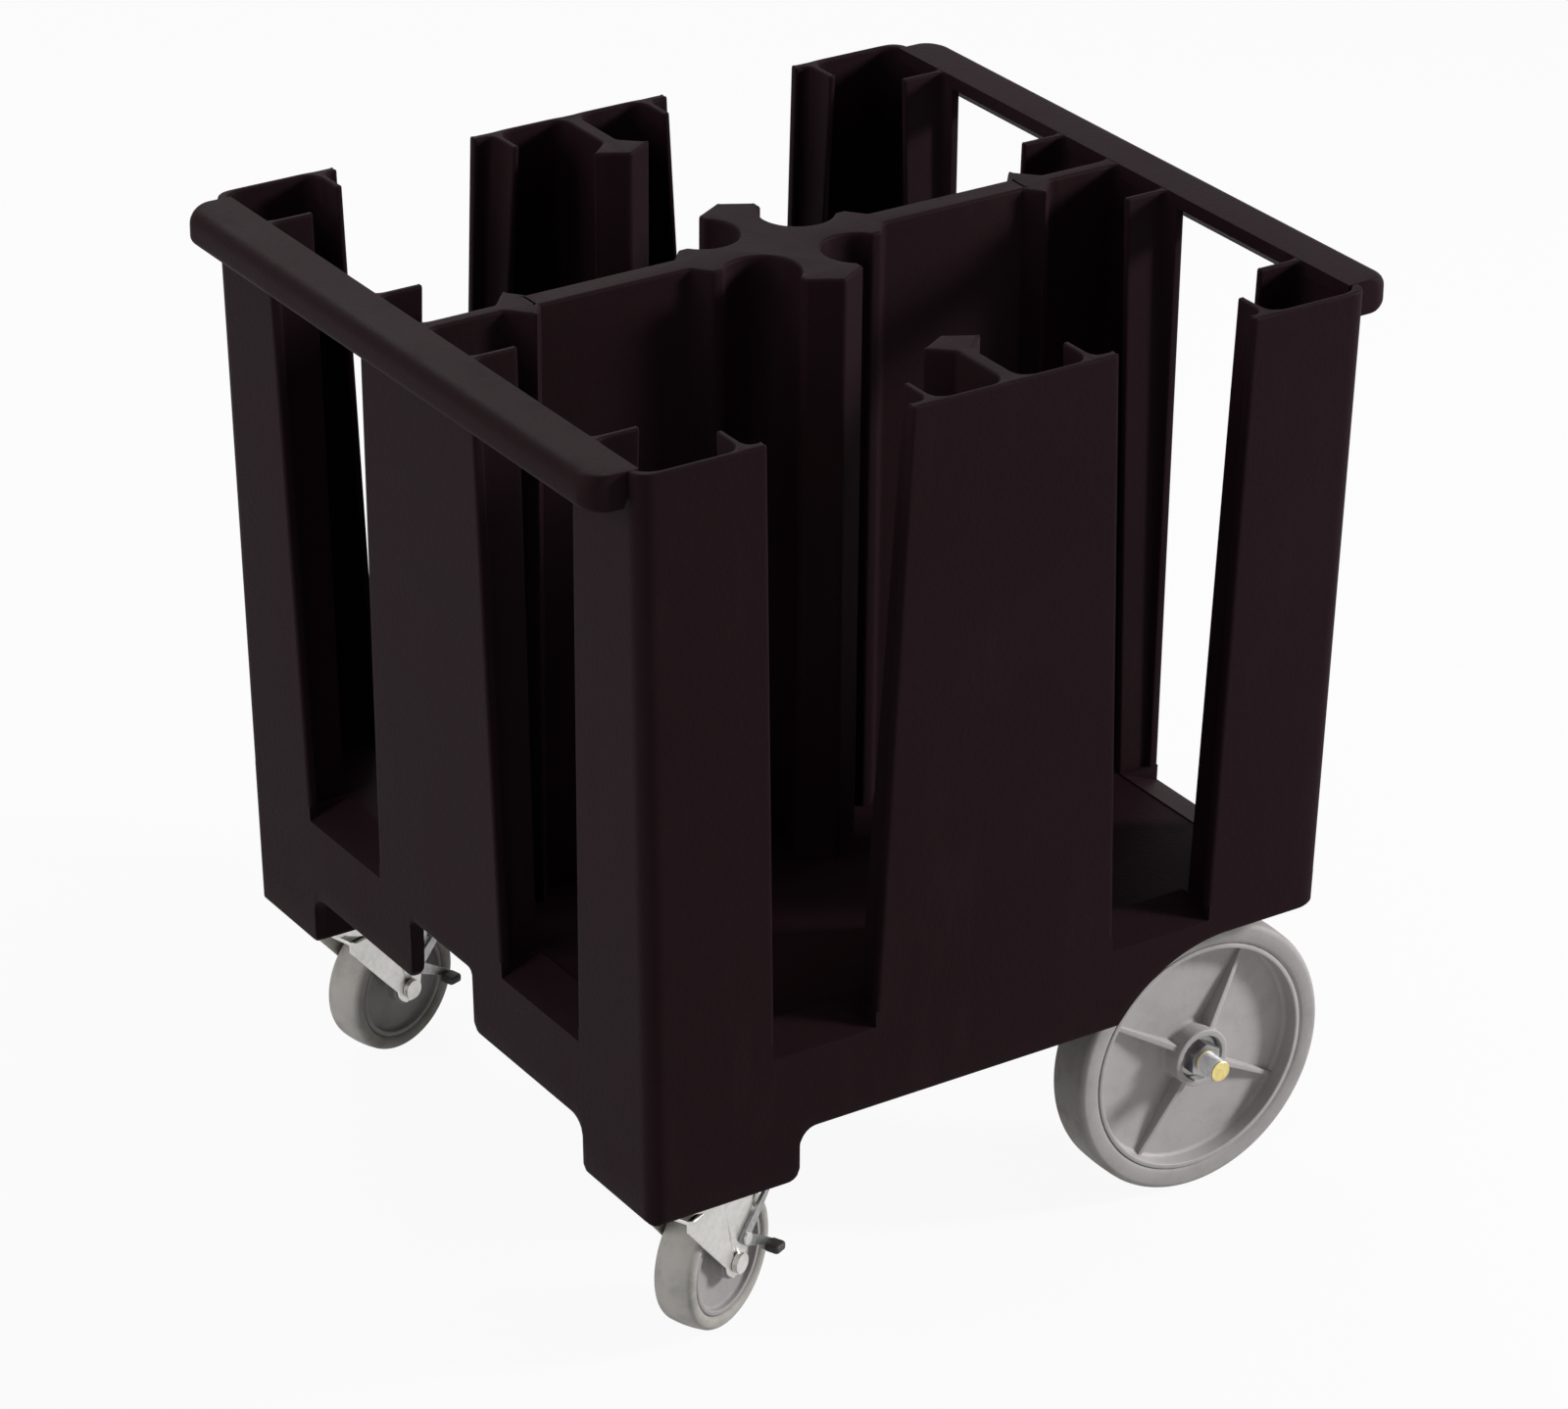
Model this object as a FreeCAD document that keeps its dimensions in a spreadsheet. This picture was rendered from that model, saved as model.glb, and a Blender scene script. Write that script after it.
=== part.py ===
import FreeCAD, Part
import math
import os
import re
import Sketcher

# Dish caddy: a moulded cart with four dish columns on two swivel casters and two large rear wheels.
# Front (casters) is -X, left is -Y, +Z is up. The origin is on the floor under the middle of the body.

SIZES = {
    # moulded body
    "top_height": 830.0,
    "floor_height": 296.0,
    "sill_height": 282.0,
    "skirt_height": 206.0,
    "arch_height": 264.0,
    "half_top": 340.0,
    "half_bottom": 333.0,
    "end_top": 348.0,
    "end_bottom": 333.0,
    "corner_round": 14.0,
    "skirt_wall": 12.0,
    "deck_thickness": 18.0,
    "notch_half": 52.0,
    "seat_depth": 1.0,
    "seat_margin": 1.0,
    # widths of the corner posts and half widths of the centre posts, at the top and at the dish floor
    "corner_side_width_top": 116.0,
    "corner_side_width_floor": 118.0,
    "corner_end_width_top": 97.0,
    "corner_end_width_floor": 110.0,
    "centre_side_top": 98.0,
    "centre_side_floor": 118.0,
    "centre_end_top": 90.0,
    "centre_end_floor": 102.0,
    # flanges that turn in from the slot edges, and how deep they reach behind the outside wall
    "side_flange_top": 43.0,
    "side_flange_floor": 37.0,
    "end_flange_top": 51.0,
    "end_flange_floor": 38.0,
    "corner_side_lean_top": 14.0,
    "corner_side_lean_floor": 5.0,
    "corner_end_lean_top": 12.0,
    "corner_end_lean_floor": 5.0,
    "centre_side_lean_top": 19.0,
    "centre_side_lean_floor": 7.0,
    "centre_end_lean_top": 12.0,
    "centre_end_lean_floor": 5.0,
    # lips at the slot edges, thin walls and fins, and the round pockets between them
    "lip_thickness": 9.0,
    "lip_round_top": 8.0,
    "lip_round_floor": 3.0,
    "fin_sheet": 6.0,
    "wall_sheet": 5.0,
    "pocket_round": 14.0,
    "corner_pocket_round": 20.0,
    # T-headed ribs of the centre posts, and the divider with its round scoops
    "scoop_radius": 32.0,
    "scoop_place": 47.0,
    "head_half": 28.0,
    "stem_half": 7.0,
    "neck_length": 29.0,
    "rib_length": 48.0,
    "rib_point_length": 64.0,
    "rib_flat_length": 61.0,
    "panel_half": 12.0,
    "stub_tip": 82.0,
    "stub_point": 98.0,
    "panel_start": 95.0,
    # handle rails
    "rail_out": 36.0,
    "rail_drop": 30.0,
    "rail_root": 15.0,
    "rail_finger": 12.0,
    "rail_low_round": 8.0,
    "rail_top_round": 12.0,
    "rail_end_gap": 15.0,
    "rail_end_round": 16.0,
    # front legs and casters
    "leg_length": 142.0,
    "leg_width": 107.0,
    "caster_height": 159.0,
    "caster_inset": 70.0,
    "caster_side_inset": 58.0,
    "caster_left_angle": 25.0,
    "caster_right_angle": 16.0,
    "caster_wheel_radius": 63.5,
    "caster_trail": 38.0,
    "plate_length": 100.0,
    "plate_width": 78.0,
    "plate_thickness": 4.0,
    "plate_round": 8.0,
    "bolt_length_pitch": 76.0,
    "bolt_width_pitch": 58.0,
    "bolt_radius": 4.0,
    "bolt_head_radius": 7.5,
    "bolt_head_height": 5.5,
    "bolt_depth": 26.0,
    "cup_radius": 36.0,
    "cup_bore": 33.0,
    "cup_depth": 12.0,
    "ring_height": 6.0,
    "ring_rise": 3.0,
    "dish_radius": 27.0,
    "dish_height": 12.5,
    "kingpin_radius": 6.0,
    "kingpin_head_radius": 10.0,
    "kingpin_head_height": 6.0,
    "crown_height": 137.5,
    "crown_thickness": 4.0,
    "crown_front": 32.0,
    "crown_back": 66.0,
    "crown_drop": 11.0,
    "fork_inside_half": 22.5,
    "fork_sheet": 3.0,
    "fork_foot_radius": 14.0,
    # brake lever on the outside of the fork
    "brake_pivot_back": 46.0,
    "brake_pivot_height": 84.0,
    "brake_pin_radius": 3.0,
    "brake_rivet_radius": 5.5,
    "brake_rivet_height": 2.0,
    "brake_sheet": 3.0,
    "brake_arm_half": 8.0,
    "brake_tip_back": 86.0,
    "brake_tip_height": 57.0,
    "brake_pedal_depth": 11.0,
    "brake_pedal_sheet": 6.0,
    "brake_shoe_gap": 1.2,
    "brake_shoe_rise": 50.0,
    "brake_shoe_sheet": 4.0,
    "brake_shoe_inner": 8.0,
    "caster_axle_radius": 5.0,
    "caster_head_radius": 9.0,
    "caster_head_height": 5.0,
    "caster_nut_flats": 16.0,
    "caster_nut_height": 7.0,
    "caster_axle_end": 2.0,
    "sleeve_radius": 8.0,
    "caster_hub_radius": 16.0,
    "caster_hub_half": 21.5,
    "caster_web_half": 4.0,
    "caster_rim_inner": 45.0,
    "caster_rim_radius": 50.0,
    "caster_rim_half": 17.0,
    "caster_tread_half": 19.0,
    "caster_tread_round": 7.0,
    # rear wheels and axle
    "rear_wheel_radius": 127.0,
    "rear_wheel_end_inset": 92.0,
    "rear_wheel_side_inset": 52.0,
    "rear_tyre_half": 22.0,
    "rear_tyre_round": 6.0,
    "rear_rim_radius": 107.0,
    "rear_rim_inner": 99.0,
    "rear_rim_half": 20.0,
    "rear_web_half": 5.0,
    "rear_hub_radius": 27.0,
    "rear_hub_half": 24.0,
    "rear_cup_radius": 21.0,
    "rear_cup_depth": 10.0,
    "rear_rib_width": 5.0,
    "rear_rib_root": 19.0,
    "rear_rib_end": 8.0,
    "rear_rib_angle": 60.0,
    "axle_radius": 9.5,
    "axle_end": 3.0,
    "axle_leg_width": 60.0,
    "axle_leg_length": 76.0,
    "axle_leg_foot": 30.0,
    "washer_radius": 19.0,
    "spacer_radius": 16.0,
    "washer_thickness": 3.0,
    "axle_nut_flats": 28.0,
    "axle_nut_height": 12.0,
    # clearances and cut overruns
    "run_gap": 0.06,
    "side_gap": 0.4,
    "overrun": 20.0,
}

# The body's half width and half length grow evenly from the skirt to the top.
RISE_SHARE = "((%s - skirt_height) / (top_height - skirt_height))"


def half_at(height):
    return "(half_bottom + (half_top - half_bottom) * %s)" % (RISE_SHARE % height)


def end_at(height):
    return "(end_bottom + (end_top - end_bottom) * %s)" % (RISE_SHARE % height)


# Places that follow from the sizes: slot edges, inner faces of the flanges, rail ends and wheel centres
PLACES = {
    "corner_side_top": "end_top - corner_side_width_top",
    "corner_side_floor": end_at("floor_height") + " - corner_side_width_floor",
    "corner_end_top": "half_top - corner_end_width_top",
    "corner_end_floor": half_at("floor_height") + " - corner_end_width_floor",
    "side_reach_top": "half_top - side_flange_top",
    "side_reach_floor": half_at("floor_height") + " - side_flange_floor",
    "end_reach_top": "end_top - end_flange_top",
    "end_reach_floor": end_at("floor_height") + " - end_flange_floor",
    "rail_half_length": "half_top - rail_end_gap",
    "caster_side": "half_bottom - caster_side_inset",
    "rear_wheel_back": "end_bottom - rear_wheel_end_inset",
    "rear_wheel_side": "half_bottom - rear_wheel_side_inset",
}

doc = FreeCAD.newDocument("dish_caddy")
sheet = doc.addObject("Spreadsheet::Sheet", "sizes")
cells = {alias: str(value) for alias, value in SIZES.items()}
cells.update({alias: "=" + text for alias, text in PLACES.items()})
for row, (alias, content) in enumerate(cells.items(), start=1):
    sheet.set("A%d" % row, alias)
    sheet.set("B%d" % row, content)
    sheet.setAlias("B%d" % row, alias)
doc.recompute()

nodes = {}


def sized(text):
    """The expression with each name of the sheet written as sizes.name."""
    return re.sub(r"[a-z_]+", lambda m: "sizes." + m.group() if m.group() in cells else m.group(), text)


def number(text):
    """The value of an expression in millimetres or degrees."""
    value = sheet.evalExpression(sized(text))
    return float(getattr(value, "Value", value))


def bind(obj, **expressions):
    """Bind properties of an object to expressions of the sheet."""
    for path, text in expressions.items():
        obj.setExpression(path.replace("__", "."), sized(text))


def place(obj, x="0", y="0", z="0"):
    """Bind the place of an object's own origin."""
    bind(obj, Placement__Base__x=x, Placement__Base__y=y, Placement__Base__z=z)


def keep(label, obj):
    """Name a finished sub-part."""
    obj.Label = label
    nodes[label] = obj
    return obj


def new_body(name):
    return doc.addObject("PartDesign::Body", name)


def origin_plane(body, role):
    return next(f for f in body.Origin.OriginFeatures if f.Role == role)


def minus(text):
    return "-(%s)" % text


def outline(body, name, plane, points, arcs=None, level="0"):
    """A closed sketch through points written as expressions; arcs maps a segment to its signed radius.

    A positive radius has its centre on the left of the way from a point to the next one, and the
    arc may be given as (radius, "long") where it turns through more than half a circle.
    """
    arcs = arcs or {}
    sketch = body.newObject("Sketcher::SketchObject", name)
    sketch.AttachmentSupport = [(origin_plane(body, plane), "")]
    sketch.MapMode = "FlatFace"
    bind(sketch, AttachmentOffset__Base__z=level)
    spots = [FreeCAD.Vector(number(x), number(y), 0) for x, y in points]
    count = len(points)
    starts = []
    ends = []
    for i, spot in enumerate(spots):
        target = spots[(i + 1) % count]
        if i not in arcs:
            sketch.addGeometry(Part.LineSegment(spot, target), False)
            starts.append(1)
            ends.append(2)
            continue
        text, turn = arcs[i] if isinstance(arcs[i], tuple) else (arcs[i], "short")
        radius = number(text)
        half = (target - spot) * 0.5
        rise = math.sqrt(max(radius * radius - half.Length * half.Length, 0))
        left = FreeCAD.Vector(-half.y, half.x, 0).normalize()
        side = math.copysign(1, radius) * (-1 if turn == "long" else 1)
        centre = spot + half + left * (rise * side)
        circle = Part.Circle(centre, FreeCAD.Vector(0, 0, 1), abs(radius))
        anticlockwise = radius > 0
        first, last = (spot, target) if anticlockwise else (target, spot)
        begin = math.atan2(first.y - centre.y, first.x - centre.x)
        finish = math.atan2(last.y - centre.y, last.x - centre.x)
        if finish <= begin:
            finish += 2 * math.pi
        sketch.addGeometry(Part.ArcOfCircle(circle, begin, finish), False)
        starts.append(1 if anticlockwise else 2)
        ends.append(2 if anticlockwise else 1)
    for i in range(count):
        following = (i + 1) % count
        sketch.addConstraint(Sketcher.Constraint("Coincident", i, ends[i], following, starts[following]))
    for i, (x, y) in enumerate(points):
        for kind, text, value, axis in (("DistanceX", x, spots[i].x, -2), ("DistanceY", y, spots[i].y, -1)):
            if text == "0":
                sketch.addConstraint(Sketcher.Constraint("PointOnObject", i, starts[i], axis))
                continue
            index = sketch.addConstraint(Sketcher.Constraint(kind, -1, 1, i, starts[i], value))
            sketch.setExpression("Constraints[%d]" % index, sized(text))
    for i, radius in arcs.items():
        text = (radius[0] if isinstance(radius, tuple) else radius).lstrip("-")
        index = sketch.addConstraint(Sketcher.Constraint("Radius", i, number(text)))
        sketch.setExpression("Constraints[%d]" % index, sized(text))
    return sketch


def loft(body, name, lower, upper):
    """Straight-sided moulding between two outlines with the same points."""
    feature = body.newObject("PartDesign::AdditiveLoft", name)
    feature.Profile = lower
    feature.Sections = [upper]
    feature.Ruled = True
    return feature


def pad(body, name, sketch, length, both=False):
    """Pad of a sketch along its plane's normal, or by half to each side."""
    feature = body.newObject("PartDesign::Pad", name)
    feature.Profile = sketch
    bind(feature, Length=length)
    if both:
        feature.Midplane = True
    return feature


def revolve(body, name, sketch, axis="H_Axis"):
    """Full turn of a sketch about one of its own axes."""
    feature = body.newObject("PartDesign::Revolution", name)
    feature.Profile = sketch
    feature.ReferenceAxis = (sketch, [axis])
    feature.Angle = 360
    return feature


def box(name, x, y, z, length, width, height):
    """Box from its lowest corner and its three sizes."""
    solid = doc.addObject("Part::Box", name)
    bind(solid, Length=length, Width=width, Height=height)
    place(solid, x, y, z)
    return solid


def upright(name, radius, x, y, z, height):
    """Cylinder along Z."""
    solid = doc.addObject("Part::Cylinder", name)
    bind(solid, Radius=radius, Height=height)
    place(solid, x, y, z)
    return solid


def crosswise(name, radius, x, y, z, length):
    """Cylinder along +Y from its end face's centre."""
    solid = doc.addObject("Part::Cylinder", name)
    solid.Placement.Rotation = FreeCAD.Rotation(FreeCAD.Vector(1, 0, 0), -90)
    bind(solid, Radius=radius, Height=length)
    place(solid, x, y, z)
    return solid


def joined(name, pieces):
    solid = doc.addObject("Part::MultiFuse", name)
    solid.Shapes = pieces
    return solid


def cut(name, base, tools):
    solid = doc.addObject("Part::Cut", name)
    solid.Base = base
    solid.Tool = tools[0] if len(tools) == 1 else joined(name + "_tools", tools)
    return solid


def mirrored(name, source, normal):
    solid = doc.addObject("Part::Mirroring", name)
    solid.Source = source
    solid.Normal = normal
    return solid


ACROSS_X = FreeCAD.Vector(1, 0, 0)
ACROSS_Y = FreeCAD.Vector(0, 1, 0)


def grouped(name, pieces):
    solid = doc.addObject("Part::Compound", name)
    solid.Links = pieces
    return solid


# Base: deck under the dishes with a skirt round it, open below
def rounded_plan(body, name, x, y, level):
    flat_x = "%s - corner_round" % x
    flat_y = "%s - corner_round" % y
    corners = [(x, minus(flat_y)), (x, flat_y), (flat_x, y), (minus(flat_x), y), (minus(x), flat_y),
               (minus(x), minus(flat_y)), (minus(flat_x), minus(y)), (flat_x, minus(y))]
    return outline(body, name, "XY_Plane", corners, {i: "corner_round" for i in (1, 3, 5, 7)}, level)


def base():
    body = new_body("base_block")
    lower = rounded_plan(body, "base_lower", "end_bottom", "half_bottom", "skirt_height")
    level = "floor_height"
    upper = rounded_plan(body, "base_upper", end_at(level), half_at(level), level)
    loft(body, "base_loft", lower, upper)
    inner_x = "(end_bottom - skirt_wall)"
    inner_y = "(half_bottom - skirt_wall)"
    hollow = box("base_hollow", minus(inner_x), minus(inner_y), "skirt_height - overrun", "2 * " + inner_x,
                 "2 * " + inner_y, "floor_height - deck_thickness - skirt_height + overrun")
    notch = box("base_notch", "-end_bottom - overrun", "-notch_half", "skirt_height - overrun",
                "skirt_wall + 2 * overrun", "2 * notch_half", "arch_height - skirt_height + overrun")
    tools = [hollow, notch]
    well_depth = "half_bottom - rear_wheel_side + rear_tyre_half + washer_thickness + overrun"
    for side, y in (("left", "-half_bottom - overrun"),
                    ("right", "rear_wheel_side - rear_tyre_half - washer_thickness")):
        tools.append(crosswise("base_arch_" + side, "arch_height - rear_wheel_radius", "rear_wheel_back", y,
                               "rear_wheel_radius", well_depth))
        tools.append(box("base_rear_" + side, "rear_wheel_back", y, "skirt_height - overrun",
                         "end_bottom - rear_wheel_back + overrun", well_depth,
                         "arch_height - skirt_height + overrun"))
    slope = "atan((floor_height - sill_height) / (%s))"
    side_run = "half_bottom - side_reach_floor"
    sides = []
    for name, edge in (("low", "centre_side_floor"), ("high", "-corner_side_floor")):
        apron = box("apron_side_" + name, edge, "side_reach_floor", "floor_height",
                    "corner_side_floor - centre_side_floor", side_run + " + 2 * overrun", "overrun")
        apron.Placement.Rotation = FreeCAD.Rotation(FreeCAD.Vector(1, 0, 0), -1)
        bind(apron, Placement__Rotation__Angle=slope % side_run)
        sides.append(apron)
    end_run = "end_bottom - end_reach_floor"
    ends = []
    for name, edge in (("low", "centre_end_floor"), ("high", "-corner_end_floor")):
        apron = box("apron_end_" + name, "end_reach_floor", edge, "floor_height", end_run + " + 2 * overrun",
                    "corner_end_floor - centre_end_floor", "overrun")
        apron.Placement.Rotation = FreeCAD.Rotation(FreeCAD.Vector(0, 1, 0), 1)
        bind(apron, Placement__Rotation__Angle=slope % end_run)
        ends.append(apron)
    right = joined("aprons_right", sides)
    rear = joined("aprons_rear", ends)
    tools += [right, mirrored("aprons_left", right, ACROSS_Y)]
    tools += [rear, mirrored("aprons_front", rear, ACROSS_X)]
    near = "(head_half + seat_margin)"
    far_x = "(end_reach_floor - seat_margin)"
    far_y = "(side_reach_floor - seat_margin)"
    for x, x_start in (("rear", near), ("front", minus(far_x))):
        for y, y_start in (("right", near), ("left", minus(far_y))):
            tools.append(box("seat_%s_%s" % (x, y), x_start, y_start, "floor_height - seat_depth",
                             "%s - %s" % (far_x, near), "%s - %s" % (far_y, near), "seat_depth + overrun"))
    keep("base", cut("base_moulding", body, tools))


# Corner posts: thin walls round the corner, with a lip and a fin along each slot
def corner_post():
    body = new_body("corner_post_body")

    def section(where):
        level = where + "_height"
        half = half_at(level)
        wall = end_at(level)
        side = "corner_side_" + where
        end = "corner_end_" + where
        reach_x = "end_reach_" + where
        reach_y = "side_reach_" + where
        fin_x = side + " + corner_side_lean_" + where
        fin_y = end + " + corner_end_lean_" + where
        back_x = fin_x + " + fin_sheet"
        back_y = fin_y + " + fin_sheet"
        inner_x = wall + " - wall_sheet"
        inner_y = half + " - wall_sheet"
        bend = "lip_round_" + where
        lip_x = wall + " - lip_thickness"
        lip_y = half + " - lip_thickness"
        along_side = [(side, half), (side, lip_y), (fin_x + " - " + bend, lip_y),
                      (fin_x, lip_y + " - " + bend), (fin_x, reach_y), (back_x, reach_y),
                      (back_x, inner_y + " - pocket_round"), (back_x + " + pocket_round", inner_y)]
        corner = [(inner_x + " - corner_pocket_round", inner_y),
                  (inner_x, inner_y + " - corner_pocket_round")]
        along_end = [(inner_x, back_y + " + pocket_round"), (inner_x + " - pocket_round", back_y),
                     (reach_x, back_y), (reach_x, fin_y), (lip_x + " - " + bend, fin_y),
                     (lip_x, fin_y + " - " + bend), (lip_x, end), (wall, end)]
        outside = [(wall, half + " - corner_round"), (wall + " - corner_round", half)]
        points = along_side + corner + along_end + outside
        arcs = {2: "-" + bend, 6: "-pocket_round", 8: "-corner_pocket_round", 10: "-pocket_round",
                14: "-" + bend, 18: "corner_round"}
        return outline(body, "corner_section_" + where, "XY_Plane", points, arcs, level)

    loft(body, "corner_loft", section("floor"), section("top"))
    rear_right = keep("corner_post_rear_right", body)
    rear_left = keep("corner_post_rear_left", mirrored("corner_rear_left", rear_right, ACROSS_Y))
    keep("corner_post_front_right", mirrored("corner_front_right", rear_right, ACROSS_X))
    keep("corner_post_front_left", mirrored("corner_front_left", rear_left, ACROSS_X))


def centre_section(body, wall, where, half, last):
    """Outline of a centre post with its lips, fins, round pockets and the T-headed rib, along +Y."""
    edge = "centre_%s_%s" % (wall, where)
    reach = "%s_reach_%s" % (wall, where)
    fin = "%s - centre_%s_lean_%s" % (edge, wall, where)
    bend = "lip_round_" + where
    back = fin + " - fin_sheet"
    lip = half + " - lip_thickness"
    inner = half + " - wall_sheet"
    right = [(edge, half), (edge, lip), (fin + " + " + bend, lip), (fin, lip + " - " + bend),
             (fin, reach), (back, reach), (back, inner + " - pocket_round"),
             (back + " - pocket_round", inner), ("stem_half + pocket_round", inner),
             ("stem_half", inner + " - pocket_round"),
             ("stem_half", reach + " - neck_length"), ("head_half", reach + " - rib_length")]
    middle = [(x, "%s - %s" % (reach, length)) for x, length in last]
    left = [(minus(x), y) for x, y in reversed(right)]
    points = right + middle + left
    bends = {2: bend, 6: "pocket_round", 8: "pocket_round"}
    final = len(points) - 2
    arcs = {**bends, **{final - i: radius for i, radius in bends.items()}}
    return outline(body, "%s_section_%s" % (wall, where), "XY_Plane", points, arcs, where + "_height")


# Centre posts on the long sides, with a rib between two columns
def side_posts():
    body = new_body("side_post_body")
    point = [("0", "rib_point_length")]
    lower = centre_section(body, "side", "floor", half_at("floor_height"), point)
    upper = centre_section(body, "side", "top", "half_top", point)
    loft(body, "side_loft", lower, upper)
    right = keep("side_post_right", body)
    keep("side_post_left", mirrored("side_left", right, ACROSS_Y))


# Centre posts on the ends, whose rib carries the long divider
def end_posts():
    body = new_body("end_post_body")
    flat = [("panel_half", "rib_flat_length"), ("-panel_half", "rib_flat_length")]
    lower = centre_section(body, "end", "floor", end_at("floor_height"), flat)
    upper = centre_section(body, "end", "top", "end_top", flat)
    loft(body, "end_loft", lower, upper)
    body.Placement.Rotation = FreeCAD.Rotation(FreeCAD.Vector(0, 0, 1), -90)
    rear = keep("end_post_rear", body)
    keep("end_post_front", mirrored("end_front", rear, ACROSS_X))


# Divider: a wall along the middle with a short cross arm, each arm with a T-shaped head
def divider():
    body = new_body("divider_body")
    neck = "scoop_place + (sqrt(scoop_radius ^ 2 - (scoop_place - head_half) ^ 2))"

    def section(where):
        panel_end = "end_reach_%s - rib_flat_length" % where
        quarter = [(panel_end, "panel_half"), ("panel_start", "panel_half"), ("stub_tip", "head_half"),
                   (neck, "head_half"), ("head_half", neck), ("head_half", "stub_tip")]
        rear_right = quarter + [("0", "stub_point")]
        front_right = [(minus(x), y) for x, y in reversed(quarter)]
        front_left = [(minus(x), minus(y)) for x, y in quarter] + [("0", "-stub_point")]
        rear_left = [(x, minus(y)) for x, y in reversed(quarter)]
        points = rear_right + front_right + front_left + rear_left
        bends = [i for i, spot in enumerate(points) if any(neck in text for text in spot)]
        arcs = {i: ("-scoop_radius", "long") for i in bends[::2]}
        return outline(body, "divider_section_" + where, "XY_Plane", points, arcs, where + "_height")

    loft(body, "divider_loft", section("floor"), section("top"))
    keep("divider", body)


# Handle rails across the tops of both ends
def rails():
    body = new_body("rail_body")
    low = "(top_height - rail_drop)"
    root = "(top_height - rail_root)"
    out = "(end_top + rail_out)"
    points = [("end_top", "top_height"), (end_at(root), root), ("end_top + rail_finger", low),
              (out, low), (out, "top_height")]
    sketch = outline(body, "rail_section", "XZ_Plane", points)
    shape = pad(body, "rail_pad", sketch, "2 * rail_half_length", both=True)
    face = number(out)
    near = number("side_gap")
    rounds = (("rail_ends", "rail_end_round", None), ("rail_underside", "rail_low_round", number(low)),
              ("rail_crest", "rail_top_round", number("top_height")))
    for name, radius, level in rounds:
        doc.recompute()
        edges = []
        for i, edge in enumerate(shape.Shape.Edges, start=1):
            spot = edge.CenterOfMass
            upright_edge = abs(spot.z - number(low) / 2 - number("top_height") / 2) < near
            wanted = upright_edge if level is None else abs(spot.z - level) < near
            if wanted and abs(spot.x - face) < near:
                edges.append("Edge%d" % i)
        rounding = body.newObject("PartDesign::Fillet", name)
        rounding.Base = (shape, edges)
        bind(rounding, Radius=radius)
        shape = rounding
    rear = keep("rail_rear", body)
    keep("rail_front", mirrored("rail_front_bar", rear, ACROSS_X))


# Front legs, with holes for the caster bolts
BOLTS = [(x, y) for x in ("-bolt_length_pitch / 2", "bolt_length_pitch / 2")
         for y in ("-bolt_width_pitch / 2", "bolt_width_pitch / 2")]


def front_leg(side, sign):
    deck = "(floor_height - deck_thickness)"
    inner_y = "(half_bottom - skirt_wall)"
    body = new_body("leg_foot_" + side)
    back = "-end_bottom + leg_length"
    outer = "%d * half_bottom" % sign
    inside = "%d * (half_bottom - leg_width)" % sign
    bend = "%d * (half_bottom - corner_round)" % sign
    points = [("-end_bottom", bend), ("-end_bottom", inside), (back, inside), (back, outer),
              ("-end_bottom + corner_round", outer)]
    rounding = "corner_round" if sign > 0 else "-corner_round"
    sketch = outline(body, "leg_plan_" + side, "XY_Plane", points, {4: rounding}, "caster_height")
    pad(body, "leg_pad_" + side, sketch, "skirt_height - caster_height")
    start = "half_bottom - leg_width" if sign > 0 else minus(inner_y)
    block = box("leg_block_" + side, "-(end_bottom - skirt_wall)", start, "skirt_height",
                "leg_length - skirt_wall", "leg_width - skirt_wall", deck + " - skirt_height")
    holes = [upright("leg_hole_%s_%d" % (side, i), "bolt_radius", "caster_inset - end_bottom + " + x,
                     "%d * caster_side + %s" % (sign, y), "caster_height - overrun", "bolt_depth + overrun")
             for i, (x, y) in enumerate(BOLTS)]
    keep("front_leg_" + side, cut("leg_" + side, joined("leg_solid_" + side, [body, block]), holes))


# Axle legs under the deck, inboard of the rear wheels
def axle_leg(side, sign):
    deck = "(floor_height - deck_thickness)"
    outer = "(rear_wheel_side - rear_hub_half - 2 * washer_thickness)"
    start = outer + " - axle_leg_width" if sign > 0 else minus(outer)
    block = box("axle_leg_block_" + side, "rear_wheel_back - axle_leg_length / 2", start,
                "rear_wheel_radius - axle_leg_foot", "axle_leg_length", "axle_leg_width",
                "%s - rear_wheel_radius + axle_leg_foot" % deck)
    bore = crosswise("axle_leg_bore_" + side, "axle_radius", "rear_wheel_back", start + " - overrun",
                     "rear_wheel_radius", "axle_leg_width + 2 * overrun")
    keep("axle_leg_" + side, cut("axle_leg_cut_" + side, block, [bore]))


# Rear axle with spacers, washers and nuts
def hexagon(name, flats, height):
    """Hexagonal prism along +Y from the origin."""
    body = new_body(name)
    reach = "%s / 2 / cos(30)" % flats
    points = [("%s * cos(%d)" % (reach, a), "%s * sin(%d)" % (reach, a))
              for a in (30, 90, 150, 210, 270, 330)]
    points = [("0" if abs(number(x)) < 1e-9 else x, y) for x, y in points]
    sketch = outline(body, name + "_plan", "XZ_Plane", points)
    feature = pad(body, name + "_pad", sketch, height)
    feature.Reversed = True
    return body


HUB_OUT = "(rear_wheel_side + rear_hub_half - rear_cup_depth + side_gap)"
NUT_OUT = "(%s + washer_thickness + axle_nut_height)" % HUB_OUT


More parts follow.
